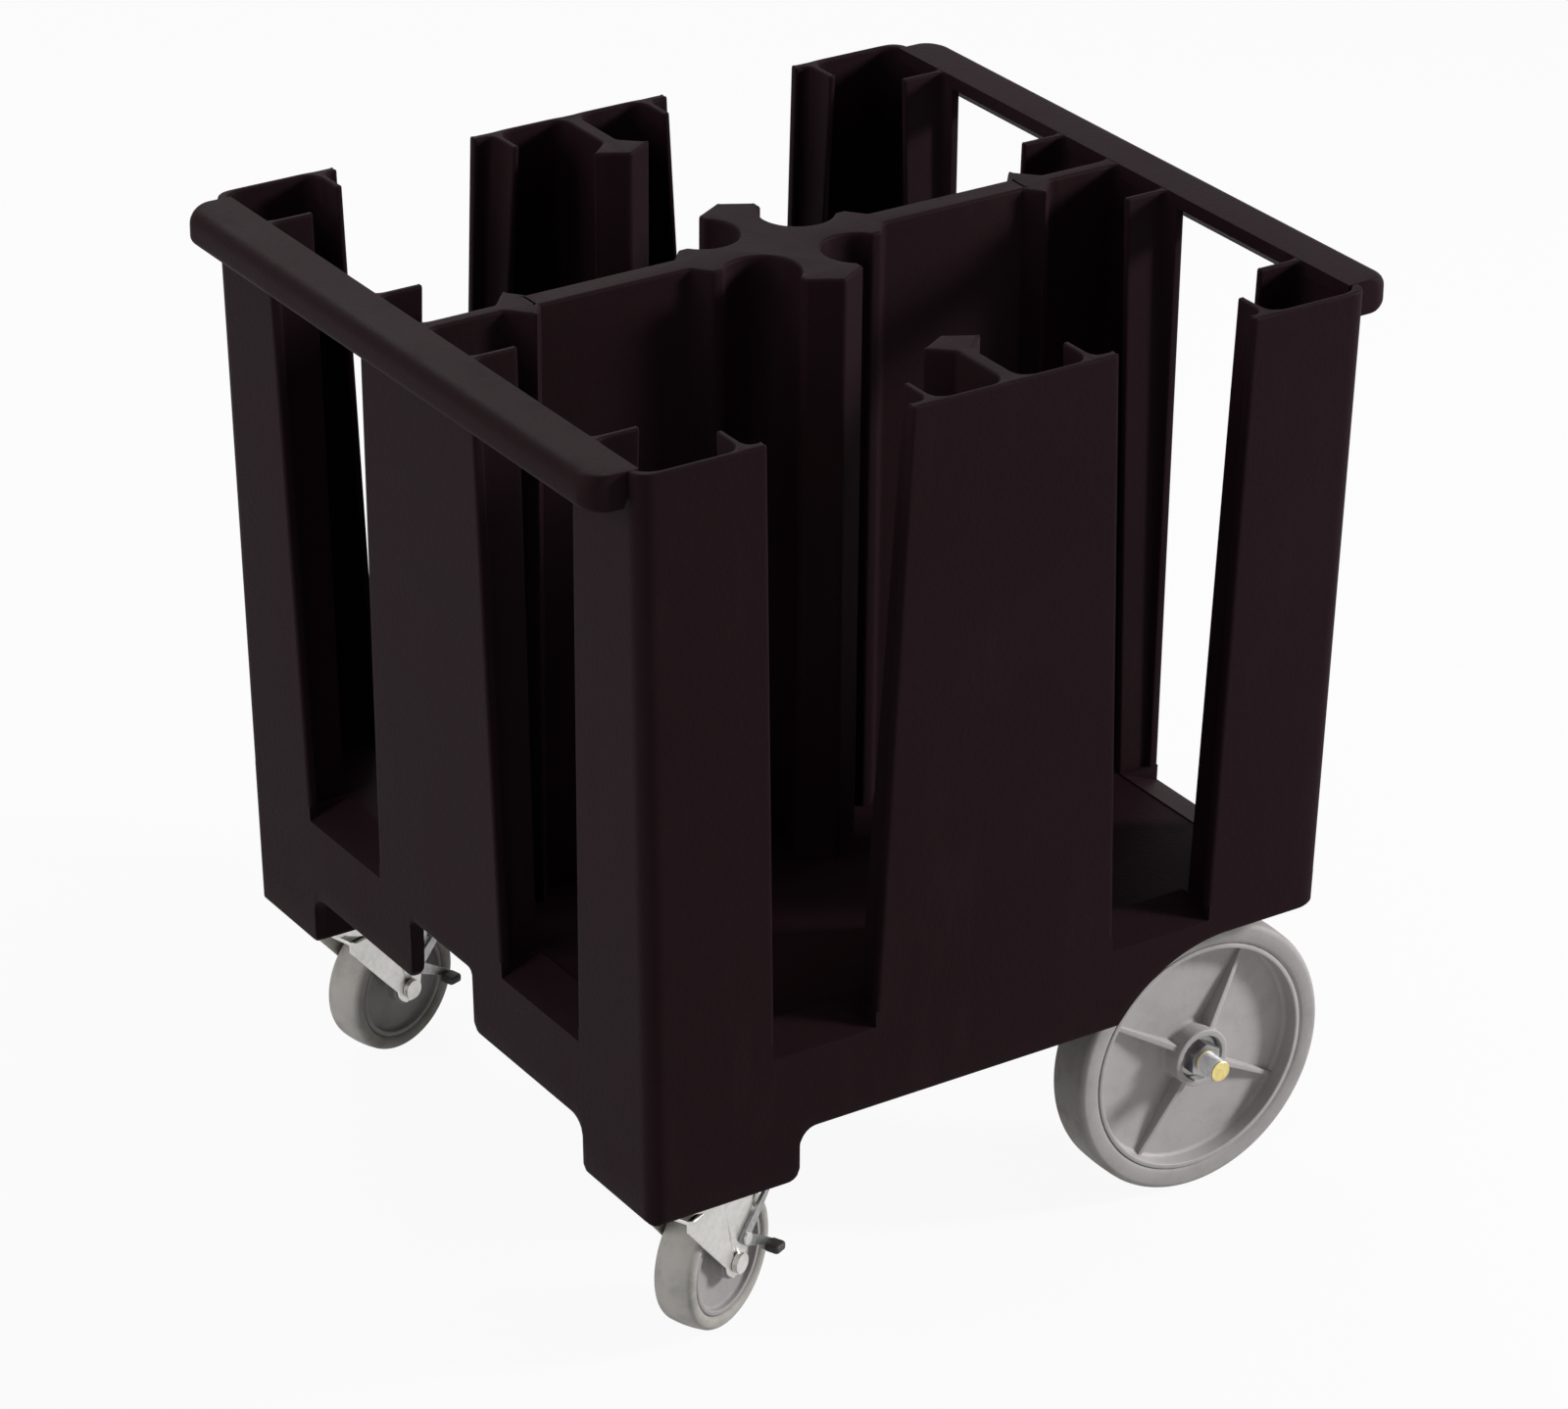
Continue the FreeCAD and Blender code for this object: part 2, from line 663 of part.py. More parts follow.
def rear_axle():
    rod = crosswise("axle_rod", "axle_radius", "rear_wheel_back", minus(NUT_OUT) + " - axle_end",
                    "rear_wheel_radius", "2 * %s + 2 * axle_end" % NUT_OUT)
    keep("rear_axle", rod)
    spacers = []
    washers = []
    nuts = []
    leg_face = "(rear_wheel_side - rear_hub_half - 2 * washer_thickness)"
    spacer_length = "2 * washer_thickness + rear_cup_depth - side_gap"
    for side, sign in (("left", -1), ("right", 1)):
        def ring(name, radius, start, length):
            near = start if sign > 0 else "-(%s) - (%s)" % (start, length)
            disc = crosswise(name + side, radius, "rear_wheel_back", near, "rear_wheel_radius", length)
            hole = crosswise(name + side + "_hole", "axle_radius", "rear_wheel_back", near + " - overrun",
                             "rear_wheel_radius", "(%s) + 2 * overrun" % length)
            return cut(name + side + "_ring", disc, [hole])
        spacers.append(ring("spacer_", "spacer_radius", leg_face, spacer_length))
        washers.append(ring("washer_", "washer_radius", HUB_OUT, "washer_thickness"))
        prism = hexagon("axle_nut_" + side, "axle_nut_flats", "axle_nut_height")
        start = "%s + washer_thickness" % HUB_OUT
        place(prism, "rear_wheel_back", start if sign > 0 else minus(NUT_OUT), "rear_wheel_radius")
        bore = crosswise("axle_nut_bore_" + side, "axle_radius", "rear_wheel_back",
                         minus(NUT_OUT) + " - overrun", "rear_wheel_radius",
                         "2 * %s + 2 * overrun" % NUT_OUT)
        nuts.append(cut("axle_nut_cut_" + side, prism, [bore]))
    keep("axle_spacers", grouped("spacer_group", spacers))
    keep("axle_washers", grouped("washer_group", washers))
    keep("axle_nuts", grouped("nut_group", nuts))


def wheel_profile(hub_half, bore, hub, web_half, rim_inner, rim_half, rim):
    """Half-section of a wheel core as axial and radial distances."""
    right = [(hub_half, bore), (hub_half, hub), (web_half, hub), (web_half, rim_inner),
             (rim_half, rim_inner), (rim_half, rim)]
    return right + [(minus(x), y) for x, y in reversed(right)]


def tyre(name, half, inner, outer, rounding):
    """Tread ring with rounded shoulders, about the Y axis."""
    body = new_body(name)
    shoulder = "%s - %s" % (outer, rounding)
    flat = "%s - %s" % (half, rounding)
    points = [(half, inner), (half, shoulder), (flat, outer), (minus(flat), outer), (minus(half), shoulder),
              (minus(half), inner)]
    sketch = outline(body, name + "_section", "YZ_Plane", points, {1: rounding, 3: rounding})
    revolve(body, name + "_turn", sketch)
    return body


# Rear wheels: a webbed core with four ribs, and its tyre
def rear_wheel(side, sign):
    body = new_body("rear_core_" + side)
    cup = "rear_hub_half - rear_cup_depth"
    bore = "axle_radius + run_gap"
    hub = [(cup, bore), (cup, "rear_cup_radius")]
    rest = wheel_profile("rear_hub_half", "rear_cup_radius", "rear_hub_radius", "rear_web_half",
                         "rear_rim_inner", "rear_rim_half", "rear_rim_radius")
    points = hub + rest + [(minus(x), y) for x, y in reversed(hub)]
    revolve(body, "rear_core_turn_" + side, outline(body, "rear_core_section_" + side, "YZ_Plane", points))
    root = "rear_hub_radius - rear_web_half / 2"
    crest = "rear_rim_inner + rear_web_half / 2"
    rib_points = [("rear_rib_root", root), ("rear_rib_end", crest), ("-rear_rib_end", crest),
                  ("-rear_rib_root", root)]
    sketch = outline(body, "rear_rib_side_" + side, "YZ_Plane", rib_points)
    rib = pad(body, "rear_rib_" + side, sketch, "rear_rib_width", both=True)
    ring = body.newObject("PartDesign::PolarPattern", "rear_ribs_" + side)
    ring.Originals = [rib]
    ring.Axis = (origin_plane(body, "Y_Axis"), [""])
    ring.Angle = 360
    ring.Occurrences = 4
    body.Tip = ring
    body.Placement.Rotation = FreeCAD.Rotation(FreeCAD.Vector(0, -1, 0), 1)
    bind(body, Placement__Rotation__Angle="rear_rib_angle")
    place(body, "rear_wheel_back", "%d * rear_wheel_side" % sign, "rear_wheel_radius")
    keep("rear_wheel_" + side, body)
    tread = tyre("rear_tread_" + side, "rear_tyre_half", "rear_rim_radius", "rear_wheel_radius",
                 "rear_tyre_round")
    place(tread, "rear_wheel_back", "%d * rear_wheel_side" % sign, "rear_wheel_radius")
    keep("rear_tyre_" + side, tread)


# Casters, modelled with the swivel axis on Z and the trail towards +X, then turned and set under a leg
def seat(obj, side, sign, turned=True):
    place(obj, "caster_inset - end_bottom", "%d * caster_side" % sign)
    if turned:
        bind(obj, Placement__Rotation__Angle="caster_%s_angle" % side)
    return obj


def caster_mount(side, sign):
    plate_low = "(caster_height - plate_thickness)"
    body = new_body("plate_body_" + side)
    x, y = "plate_length / 2", "plate_width / 2"
    inset_x, inset_y = x + " - plate_round", y + " - plate_round"
    points = [(x, minus(inset_y)), (x, inset_y), (inset_x, y), (minus(inset_x), y), (minus(x), inset_y),
              (minus(x), minus(inset_y)), (minus(inset_x), minus(y)), (inset_x, minus(y))]
    rounds = {i: "plate_round" for i in (1, 3, 5, 7)}
    sketch = outline(body, "plate_plan_" + side, "XY_Plane", points, rounds, plate_low)
    pad(body, "plate_pad_" + side, sketch, "plate_thickness")
    cup = upright("cup_" + side, "cup_radius", "0", "0", plate_low + " - cup_depth", "cup_depth")
    bore = upright("cup_bore_" + side, "cup_bore", "0", "0", plate_low + " - cup_depth - overrun",
                   "cup_depth + overrun")
    holes = [upright("plate_hole_%s_%d" % (side, i), "bolt_radius", bx, by, plate_low + " - overrun",
                     "plate_thickness + 2 * overrun") for i, (bx, by) in enumerate(BOLTS)]
    holes.append(upright("plate_pin_hole_" + side, "kingpin_radius", "0", "0", plate_low + " - overrun",
                         "plate_thickness + 2 * overrun"))
    solid = cut("plate_cut_" + side, joined("plate_solid_" + side, [body, cup]), [bore] + holes)
    keep("caster_plate_" + side, seat(solid, side, sign, turned=False))
    ring_low = "(%s - cup_depth + ring_rise)" % plate_low
    ring = upright("ring_" + side, "cup_bore", "0", "0", ring_low, "ring_height")
    ring_hole = upright("ring_hole_" + side, "dish_radius + side_gap", "0", "0", ring_low + " - overrun",
                        "ring_height + 2 * overrun")
    bearing = cut("ring_cut_" + side, ring, [ring_hole])
    keep("caster_bearing_" + side, seat(bearing, side, sign, turned=False))
    head_top = "(crown_height - crown_thickness - side_gap)"
    pin = joined("pin_solid_" + side, [
        upright("pin_shaft_" + side, "kingpin_radius", "0", "0", head_top, "caster_height - %s" % head_top),
        upright("pin_head_" + side, "kingpin_head_radius", "0", "0", head_top + " - kingpin_head_height",
                "kingpin_head_height")])
    keep("caster_kingpin_" + side, seat(pin, side, sign, turned=False))
    bolts = []
    for i, (bx, by) in enumerate(BOLTS):
        head = hexagon_upright("bolt_head_%s_%d" % (side, i), "2 * bolt_head_radius * cos(30)",
                               "bolt_head_height")
        place(head, bx, by, plate_low + " - bolt_head_height")
        shank = upright("bolt_shank_%s_%d" % (side, i), "bolt_radius", bx, by, plate_low,
                        "bolt_depth + plate_thickness")
        bolts.append(joined("bolt_%s_%d" % (side, i), [head, shank]))
    keep("caster_bolts_" + side, seat(grouped("bolts_" + side, bolts), side, sign, turned=False))


def hexagon_upright(name, flats, height):
    """Hexagonal prism along +Z from the origin."""
    body = new_body(name)
    reach = "%s / 2 / cos(30)" % flats
    points = [("%s * cos(%d)" % (reach, a), "%s * sin(%d)" % (reach, a))
              for a in (0, 60, 120, 180, 240, 300)]
    points = [(x, "0" if abs(number(y)) < 1e-9 else y) for x, y in points]
    pad(body, name + "_pad", outline(body, name + "_plan", "XY_Plane", points), height)
    return body


def caster_fork(side, sign):
    body = new_body("fork_side_" + side)
    wheel = "caster_wheel_radius"
    points = [("-crown_front", "crown_height"), ("-crown_front", "crown_height - crown_drop"),
              ("caster_trail - fork_foot_radius", wheel), ("caster_trail", wheel + " - fork_foot_radius"),
              ("caster_trail + fork_foot_radius", wheel),
              ("crown_back", "crown_height - crown_drop"), ("crown_back", "crown_height")]
    sketch = outline(body, "fork_outline_" + side, "XZ_Plane", points,
                     {2: "fork_foot_radius", 3: "fork_foot_radius"})
    pad(body, "fork_pad_" + side, sketch, "2 * (fork_inside_half + fork_sheet)", both=True)
    dish = upright("fork_dish_" + side, "dish_radius", "0", "0", "crown_height", "dish_height")
    solid = joined("fork_solid_" + side, [body, dish])
    gap = box("fork_gap_" + side, "-crown_front - overrun", "-fork_inside_half", "0",
              "crown_front + crown_back + 2 * overrun", "2 * fork_inside_half",
              "crown_height - crown_thickness")
    across = "2 * (fork_inside_half + fork_sheet + overrun)"
    start = "-(fork_inside_half + fork_sheet + overrun)"
    axle_hole = crosswise("fork_axle_hole_" + side, "caster_axle_radius", "caster_trail", start, wheel,
                          across)
    brake_hole = crosswise("fork_brake_hole_" + side, "brake_pin_radius", "brake_pivot_back", start,
                           "brake_pivot_height", "fork_sheet + 2 * overrun")
    pin_hole = upright("fork_pin_hole_" + side, "kingpin_radius + run_gap", "0", "0",
                       "crown_height - overrun", "dish_height + 2 * overrun")
    fork = cut("fork_cut_" + side, solid, [gap, axle_hole, brake_hole, pin_hole])
    keep("caster_fork_" + side, seat(fork, side, sign))


def caster_running(side, sign):
    wheel = "caster_wheel_radius"
    out = "(fork_inside_half + fork_sheet)"
    shaft = crosswise("caster_shaft_" + side, "caster_axle_radius", "caster_trail", minus(out), wheel,
                      "2 * %s + caster_nut_height + caster_axle_end" % out)
    head = crosswise("caster_head_" + side, "caster_head_radius", "caster_trail",
                     minus(out) + " - caster_head_height", wheel, "caster_head_height")
    keep("caster_axle_" + side, seat(joined("caster_axle_solid_" + side, [shaft, head]), side, sign))
    prism = hexagon("caster_nut_prism_" + side, "caster_nut_flats", "caster_nut_height")
    place(prism, "caster_trail", out, wheel)
    bore = crosswise("caster_nut_bore_" + side, "caster_axle_radius", "caster_trail", out + " - overrun",
                     wheel, "caster_nut_height + 2 * overrun")
    keep("caster_nut_" + side, seat(cut("caster_nut_cut_" + side, prism, [bore]), side, sign))
    tube = crosswise("sleeve_tube_" + side, "sleeve_radius", "caster_trail", "-fork_inside_half", wheel,
                     "2 * fork_inside_half")
    tube_bore = crosswise("sleeve_bore_" + side, "caster_axle_radius", "caster_trail",
                          "-fork_inside_half - overrun", wheel, "2 * (fork_inside_half + overrun)")
    keep("caster_sleeve_" + side, seat(cut("sleeve_cut_" + side, tube, [tube_bore]), side, sign))
    core = new_body("caster_core_" + side)
    points = wheel_profile("caster_hub_half", "sleeve_radius + run_gap", "caster_hub_radius",
                           "caster_web_half", "caster_rim_inner", "caster_rim_half", "caster_rim_radius")
    section = outline(core, "caster_core_section_" + side, "YZ_Plane", points)
    revolve(core, "caster_core_turn_" + side, section)
    tread = tyre("caster_tread_ring_" + side, "caster_tread_half", "caster_rim_radius", wheel,
                 "caster_tread_round")
    for label, ring in (("caster_wheel_" + side, core), ("caster_tread_" + side, tread)):
        turn = "caster_%s_angle" % side
        bind(ring, Placement__Rotation__Angle=turn)
        place(ring, "caster_inset - end_bottom + caster_trail * cos(%s)" % turn,
              "%d * caster_side + caster_trail * sin(%s)" % (sign, turn), wheel)
        keep(label, ring)


# Brake lever on a rivet outside the left cheek of the fork, with a pedal and a shoe behind the tread
def brake_lever(side, sign):
    near = "(fork_inside_half + fork_sheet + side_gap)"
    far = "(%s + brake_sheet)" % near
    pivot = ("brake_pivot_back", "brake_pivot_height")
    rod = crosswise("brake_rod_" + side, "brake_pin_radius", pivot[0], "-%s - side_gap" % far, pivot[1],
                    "%s + side_gap - fork_inside_half" % far)
    head = crosswise("brake_rivet_" + side, "brake_rivet_radius", pivot[0],
                     "-%s - side_gap - brake_rivet_height" % far, pivot[1], "brake_rivet_height")
    keep("brake_pin_" + side, seat(joined("brake_pin_solid_" + side, [rod, head]), side, sign))
    body = new_body("brake_plate_" + side)
    shoe_x = "(caster_trail + sqrt((caster_wheel_radius + brake_shoe_gap) ^ 2 - brake_shoe_rise ^ 2))"
    shoe_z = "(caster_wheel_radius + brake_shoe_rise)"
    points = [(pivot[0] + " - brake_arm_half", pivot[1]), (pivot[0], pivot[1] + " - brake_arm_half"),
              ("brake_tip_back", "brake_tip_height"),
              ("brake_tip_back", "brake_tip_height + brake_pedal_sheet"),
              (pivot[0] + " + brake_arm_half", pivot[1]),
              (shoe_x + " + brake_shoe_sheet", shoe_z), (shoe_x, shoe_z + " + brake_shoe_sheet"),
              (pivot[0], pivot[1] + " + brake_arm_half")]
    sketch = outline(body, "brake_outline_" + side, "XZ_Plane", points)
    pad(body, "brake_pad_" + side, sketch, "brake_sheet")
    place(body, "0", minus(near))
    pedal = box("brake_pedal_" + side, "brake_tip_back - brake_pedal_depth",
                "-%s - brake_pedal_depth" % far, "brake_tip_height", "brake_pedal_depth",
                "brake_pedal_depth + brake_sheet", "brake_pedal_sheet")
    shoe = box("brake_shoe_" + side, shoe_x, minus(far), shoe_z, "brake_shoe_sheet",
               far + " - brake_shoe_inner", "brake_shoe_sheet")
    hole = crosswise("brake_hole_" + side, "brake_pin_radius + run_gap", pivot[0], "-%s - overrun" % far,
                     pivot[1], "brake_sheet + 2 * overrun")
    solid = joined("brake_solid_" + side, [body, pedal, shoe])
    keep("brake_lever_" + side, seat(cut("brake_cut_" + side, solid, [hole]), side, sign))


base()
corner_post()
side_posts()
end_posts()
divider()
rails()
rear_axle()
for side, sign in (("left", -1), ("right", 1)):
    front_leg(side, sign)
    axle_leg(side, sign)
    rear_wheel(side, sign)
    caster_mount(side, sign)
    caster_fork(side, sign)
    caster_running(side, sign)
    brake_lever(side, sign)
doc.recompute()

failed = [obj.Label for obj in doc.Objects if "Invalid" in obj.State or "Error" in obj.State]
if failed:
    raise RuntimeError("objects failed: " + ", ".join(failed))
for label, obj in nodes.items():
    if obj.Shape.isNull() or not obj.Shape.isValid() or not obj.Shape.Solids:
        raise RuntimeError("bad shape: " + label)

os.makedirs("parts", exist_ok=True)
for label, obj in nodes.items():
    obj.Shape.exportStep("parts/%s.step" % label)
    extent = obj.Shape.optimalBoundingBox()
    print("%-26s %10.0f mm3  z %.1f to %.1f" % (label, obj.Shape.Volume, extent.ZMin, extent.ZMax))
print(len(nodes), "sub-parts")
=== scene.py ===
# %% [markdown]
# # A dish caddy in Blender
#
# A dish caddy is a moulded cart that carries four stacks of plates. This lesson dresses its engineering model:
# the hidden solids stay as they are, and each visible piece is either given a finish or replaced by a surface
# that has the soft edges of the real moulding. The first cell loads the model.

import math

import bmesh
import bpy
import numpy as np
from mathutils import Matrix, Vector


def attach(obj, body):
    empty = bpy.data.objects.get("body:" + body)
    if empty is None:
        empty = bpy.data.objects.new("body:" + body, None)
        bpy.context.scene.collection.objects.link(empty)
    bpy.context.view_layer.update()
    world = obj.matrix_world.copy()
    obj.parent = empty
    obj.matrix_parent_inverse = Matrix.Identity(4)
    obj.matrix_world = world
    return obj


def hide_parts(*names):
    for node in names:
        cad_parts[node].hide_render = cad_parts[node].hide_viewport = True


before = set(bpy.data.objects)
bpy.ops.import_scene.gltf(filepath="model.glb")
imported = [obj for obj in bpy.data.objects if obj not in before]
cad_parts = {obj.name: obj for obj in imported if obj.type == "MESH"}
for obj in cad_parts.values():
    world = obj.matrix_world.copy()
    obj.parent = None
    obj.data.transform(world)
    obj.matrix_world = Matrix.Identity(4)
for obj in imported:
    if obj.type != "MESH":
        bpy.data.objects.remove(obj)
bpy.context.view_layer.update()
MM = 0.001

# %% [markdown]
# ## Camera
#
# The photograph was taken from the front left, a little above the rails. The caddy's corner posts lean out, so
# a guess by eye is easily fooled. The direction, distance and lens here were solved from measured points of
# the object, and the small lens shift is the photograph's crop.

# %% camera
AZIMUTH, ELEVATION, ROLL = np.radians([-32.821, 26.680, 0.330])
TARGET, DISTANCE = (-35, 0, 420), 4884.8
FOCAL_PIXELS, IMAGE_PIXELS, SHIFT_PIXELS = 5846.5, 1600.0, (43.07, -9.61)
back = Vector((math.sin(AZIMUTH) * math.cos(ELEVATION), -math.cos(AZIMUTH) * math.cos(ELEVATION),
               math.sin(ELEVATION)))
level = Vector((0, 0, 1)).cross(back).normalized()
upward = back.cross(level)
right = math.cos(ROLL) * level + math.sin(ROLL) * upward
upward = math.cos(ROLL) * upward - math.sin(ROLL) * level
turn = Matrix((right, upward, back)).transposed().to_4x4()
camera = bpy.data.objects.new("camera", bpy.data.cameras.new("camera"))
target = Vector([place * MM for place in TARGET])
camera.matrix_world = Matrix.Translation(target + back * DISTANCE * MM) @ turn
camera.data.sensor_width = 36
camera.data.lens = FOCAL_PIXELS * camera.data.sensor_width / IMAGE_PIXELS
camera.data.shift_x, camera.data.shift_y = [shift / IMAGE_PIXELS for shift in SHIFT_PIXELS]
bpy.context.scene.collection.objects.link(camera)
bpy.context.scene.camera = camera
print("lens %.1f mm" % camera.data.lens)

# %% [markdown]
# ## Writing shader maths as Python
#
# A material is a graph of nodes, and long graphs are hard to read as code. Here a small class wraps one
# socket, so that `grain * 0.3 + dust` adds the Math nodes by itself. Every other node comes from one method,
# which sets the node's own settings first and then fills its sockets with numbers or links.


# %% the shader helpers
class Signal:
    """A value that varies over a surface: each operator adds one Math node to its graph."""

    def __init__(self, graph, socket):
        self.graph = graph
        self.socket = socket

    def math(self, operation, first, second):
        return self.graph.node("ShaderNodeMath", {"operation": operation}, {0: first, 1: second})

    def __add__(self, other):
        return self.math("ADD", self, other)

    __radd__ = __add__

    def __rsub__(self, other):
        return self.math("SUBTRACT", other, self)

    def __mul__(self, other):
        return self.math("MULTIPLY", self, other)


class Graph:
    """The node tree of a material or of the world."""

    def __init__(self, tree):
        self.tree = tree

    def node(self, kind, settings, inputs, output=0):
        """A new node, with numbers or signals for its inputs, as the signal of one output."""
        made = self.tree.nodes.new(kind)
        for name, value in settings.items():
            setattr(made, name, value)
        for key, value in inputs.items():
            if isinstance(value, Signal):
                self.tree.links.new(value.socket, made.inputs[key])
            else:
                made.inputs[key].default_value = value
        return Signal(self, made.outputs[output])

    def backdrop(self, lit, share):
        """White for a share of what the camera sees, directly, mirrored or through glass; lit for the rest."""
        rays = [self.node("ShaderNodeLightPath", {}, {}, "Is %s Ray" % kind)
                for kind in ("Camera", "Glossy", "Transmission")]
        amount = (rays[0] + rays[1] + rays[2]) * share
        white = self.node("ShaderNodeEmission", {}, {})
        blend = self.node("ShaderNodeMixShader", {}, {0: amount, 1: lit, 2: white})
        ends = [node for node in self.tree.nodes if node.name.endswith("Output")]
        self.tree.links.new(blend.socket, ends[0].inputs["Surface"])


class Finish(Graph):
    """A material with one Principled shader, whose constants are set on the shader's own sockets."""

    def __init__(self, name, **constants):
        self.material = bpy.data.materials.new(name)
        self.material.use_nodes = True
        super().__init__(self.material.node_tree)
        self.shader = self.tree.nodes["Principled BSDF"]
        for socket, value in constants.items():
            self.shader.inputs[socket.replace("_", " ")].default_value = value

    def feed(self, **signals):
        for socket, signal in signals.items():
            self.tree.links.new(signal.socket, self.shader.inputs[socket.replace("_", " ")])

    def place(self):
        """Object coordinates in metres, the same all over the caddy."""
        return self.node("ShaderNodeTexCoord", {}, {}, "Object")

    def noise(self, scale, detail=3.0, roughness=0.5, stretch=(1, 1, 1)):
        """Cloudy noise from 0 to 1; scale is in cycles per metre, and stretch squeezes it along an axis."""
        spot = self.node("ShaderNodeMapping", {}, {"Vector": self.place(), "Scale": stretch})
        return self.node("ShaderNodeTexNoise", {}, {"Vector": spot, "Scale": scale, "Detail": detail,
                                                    "Roughness": roughness})

    def band(self, signal, low, high):
        """0 below low, 1 above high, smooth between."""
        return self.node("ShaderNodeMapRange", {"interpolation_type": "SMOOTHSTEP"},
                         {"Value": signal, "From Min": low, "From Max": high})

    def mix(self, share, first, second):
        """Colour that goes from first to second as share goes from 0 to 1."""
        return self.node("ShaderNodeMix", {"data_type": "RGBA"}, {0: share, 6: first, 7: second}, 2)

    def bump(self, height, distance):
        """Normal of a surface raised by height times the distance in millimetres."""
        return self.node("ShaderNodeBump", {}, {"Height": height, "Distance": distance * MM, "Strength": 1.0})


def colour(red, green, blue):
    return (red, green, blue, 1.0)


def shaded(tone, red, green, blue):
    """A colour with its three parts multiplied."""
    return colour(tone[0] * red, tone[1] * green, tone[2] * blue)


# %% [markdown]
# ## Finishes
#
# The cart's body is polyethylene moulded in a grained tool: a brownish black with a low sheen, small pits, and
# paler rubbing on large faces. The wheels are grey non-marking rubber on grey plastic cores, which gather
# dust. The tyres' meshes carry a value for grime and painted shade: the rear ones are darkest where they run
# on the floor, partly dirt and partly painted shade, and those of the casters are darker at their sides,
# painted shade. The caster forks are bright zinc plate, whose crystals show as faint patches.

# %% moulded black plastic
def moulded_black():
    """Slow clouds and upright rubs in the colour, fine grain and pits in the bump."""
    finish = Finish("moulded_black", Specular_IOR_Level=0.025)
    grain = finish.noise(900, 2.0)
    pits = finish.noise(210, 3.0, 0.6)
    cloud = finish.noise(7, 4.0)
    rubs = finish.band(finish.noise(26, 5.0, 0.62, (1, 1, 0.25)), 0.52, 0.78)
    tint = finish.mix(cloud, colour(0.0122, 0.0056, 0.0072), colour(0.0160, 0.0078, 0.0098))
    tint = finish.mix(rubs * 0.35, tint, colour(0.024, 0.0135, 0.0155))
    finish.feed(Base_Color=tint, Roughness=0.47 + cloud * 0.12 + rubs * 0.1,
                Normal=finish.bump(grain * 0.5 + pits * 0.9, 0.35))
    return finish.material


# %% grey wheel finishes
def wheel_grey(name, pale, dark, grain_height, roughness):
    """From pale to dark with dust, then scuffs, and then darker where the mesh carries grime and painted
    shade.
    """
    finish = Finish(name, Specular_IOR_Level=0.4)
    grain = finish.noise(700, 2.0)
    dust = finish.band(finish.noise(38, 5.0, 0.65), 0.42, 0.72)
    scuff = finish.band(finish.noise(120, 4.0, 0.7, (1, 0.3, 1)), 0.6, 0.75)
    grime_and_painted_shade = finish.node("ShaderNodeAttribute", {"attribute_name": "grime_and_painted_shade"}, {}, "Fac")
    tint = finish.mix(dust, pale, dark)
    tint = finish.mix(scuff * 0.18, tint, shaded(dark, 0.6, 0.6, 0.6))
    # Darker towards a dull olive by the mesh's value: grime, with painted shade on the tyres.
    tint = finish.mix(grime_and_painted_shade * (0.45 + dust * 0.35), tint, shaded(dark, 0.52, 0.5, 0.44))
    finish.feed(Base_Color=tint, Roughness=roughness + dust * 0.12,
                Normal=finish.bump(grain + scuff * 0.6, grain_height))
    return finish.material


# %% zinc plate
def zinc_plate(name, dark, pale):
    """Each crystal has its own tone from dark to pale; stains are duller and less like metal."""
    finish = Finish(name)
    crystal = finish.node("ShaderNodeTexVoronoi", {}, {"Vector": finish.place(), "Scale": 260.0}, "Color")
    spangle = finish.node("ShaderNodeSeparateColor", {}, {"Color": crystal})
    haze = finish.noise(60, 4.0)
    stain = finish.band(finish.noise(22, 5.0, 0.6), 0.55, 0.8)
    tint = finish.mix(spangle, dark, pale)
    tint = finish.mix(stain * 0.5, tint, shaded(dark, 0.65, 0.65, 0.65))
    finish.feed(Base_Color=tint, Roughness=0.3 + haze * 0.18 + stain * 0.15, Metallic=0.95 - stain * 0.25,
                Normal=finish.bump(spangle * 0.4 + haze, 0.12))
    return finish.material


# %% [markdown]
# Every node of the model gets a finish first, by its name. Those that a surface replaces later are hidden.

# %% a finish for every node
BLACK = moulded_black()
TYRE = wheel_grey("grey_tyre", colour(0.345, 0.327, 0.325), colour(0.31, 0.291, 0.287), 0.2, 0.6)
TREAD = wheel_grey("grey_tread", colour(0.46, 0.44, 0.415), colour(0.36, 0.35, 0.325), 0.2, 0.65)
CORE = wheel_grey("grey_core", colour(0.41, 0.382, 0.384), colour(0.37, 0.344, 0.345), 0.15, 0.5)
PAD = wheel_grey("brake_rubber", colour(0.045, 0.04, 0.038), colour(0.03, 0.027, 0.025), 0.2, 0.6)
ZINC = zinc_plate("zinc_plate", colour(0.60, 0.585, 0.565), colour(0.67, 0.655, 0.63))
DULL = zinc_plate("dull_zinc", colour(0.30, 0.295, 0.30), colour(0.40, 0.395, 0.40))
YELLOW = zinc_plate("yellow_zinc", colour(0.70, 0.56, 0.20), colour(0.80, 0.68, 0.30))
for node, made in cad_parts.items():
    if "tyre" in node or "tread" in node:
        finish = TYRE
    elif "wheel" in node:
        finish = CORE
    elif node.startswith(("axle_nuts", "axle_washers", "axle_spacers", "brake_lever")):
        finish = DULL
    elif node == "rear_axle":
        finish = YELLOW
    elif node.startswith(("axle_leg", "base", "corner", "side", "end", "divider", "rail", "front")):
        finish = BLACK
    else:
        finish = ZINC
    made.data.materials.clear()
    made.data.materials.append(finish)
print("finishes:", [m.name for m in (BLACK, TYRE, TREAD, CORE, PAD, ZINC, DULL, YELLOW)])

# %% [markdown]
# ## Surfaces from arrays
#
# A moulded post is one outline that changes a little from the dish floor to the top. So the whole post is an
# array of rings: the outline is traced as points, every ring is a blend of the floor and top outlines, and the
# last rings step inwards along a quarter circle to round the rim. Corners of the outline are softened by
# averaging neighbouring points, which rounds them as a moulding tool does.


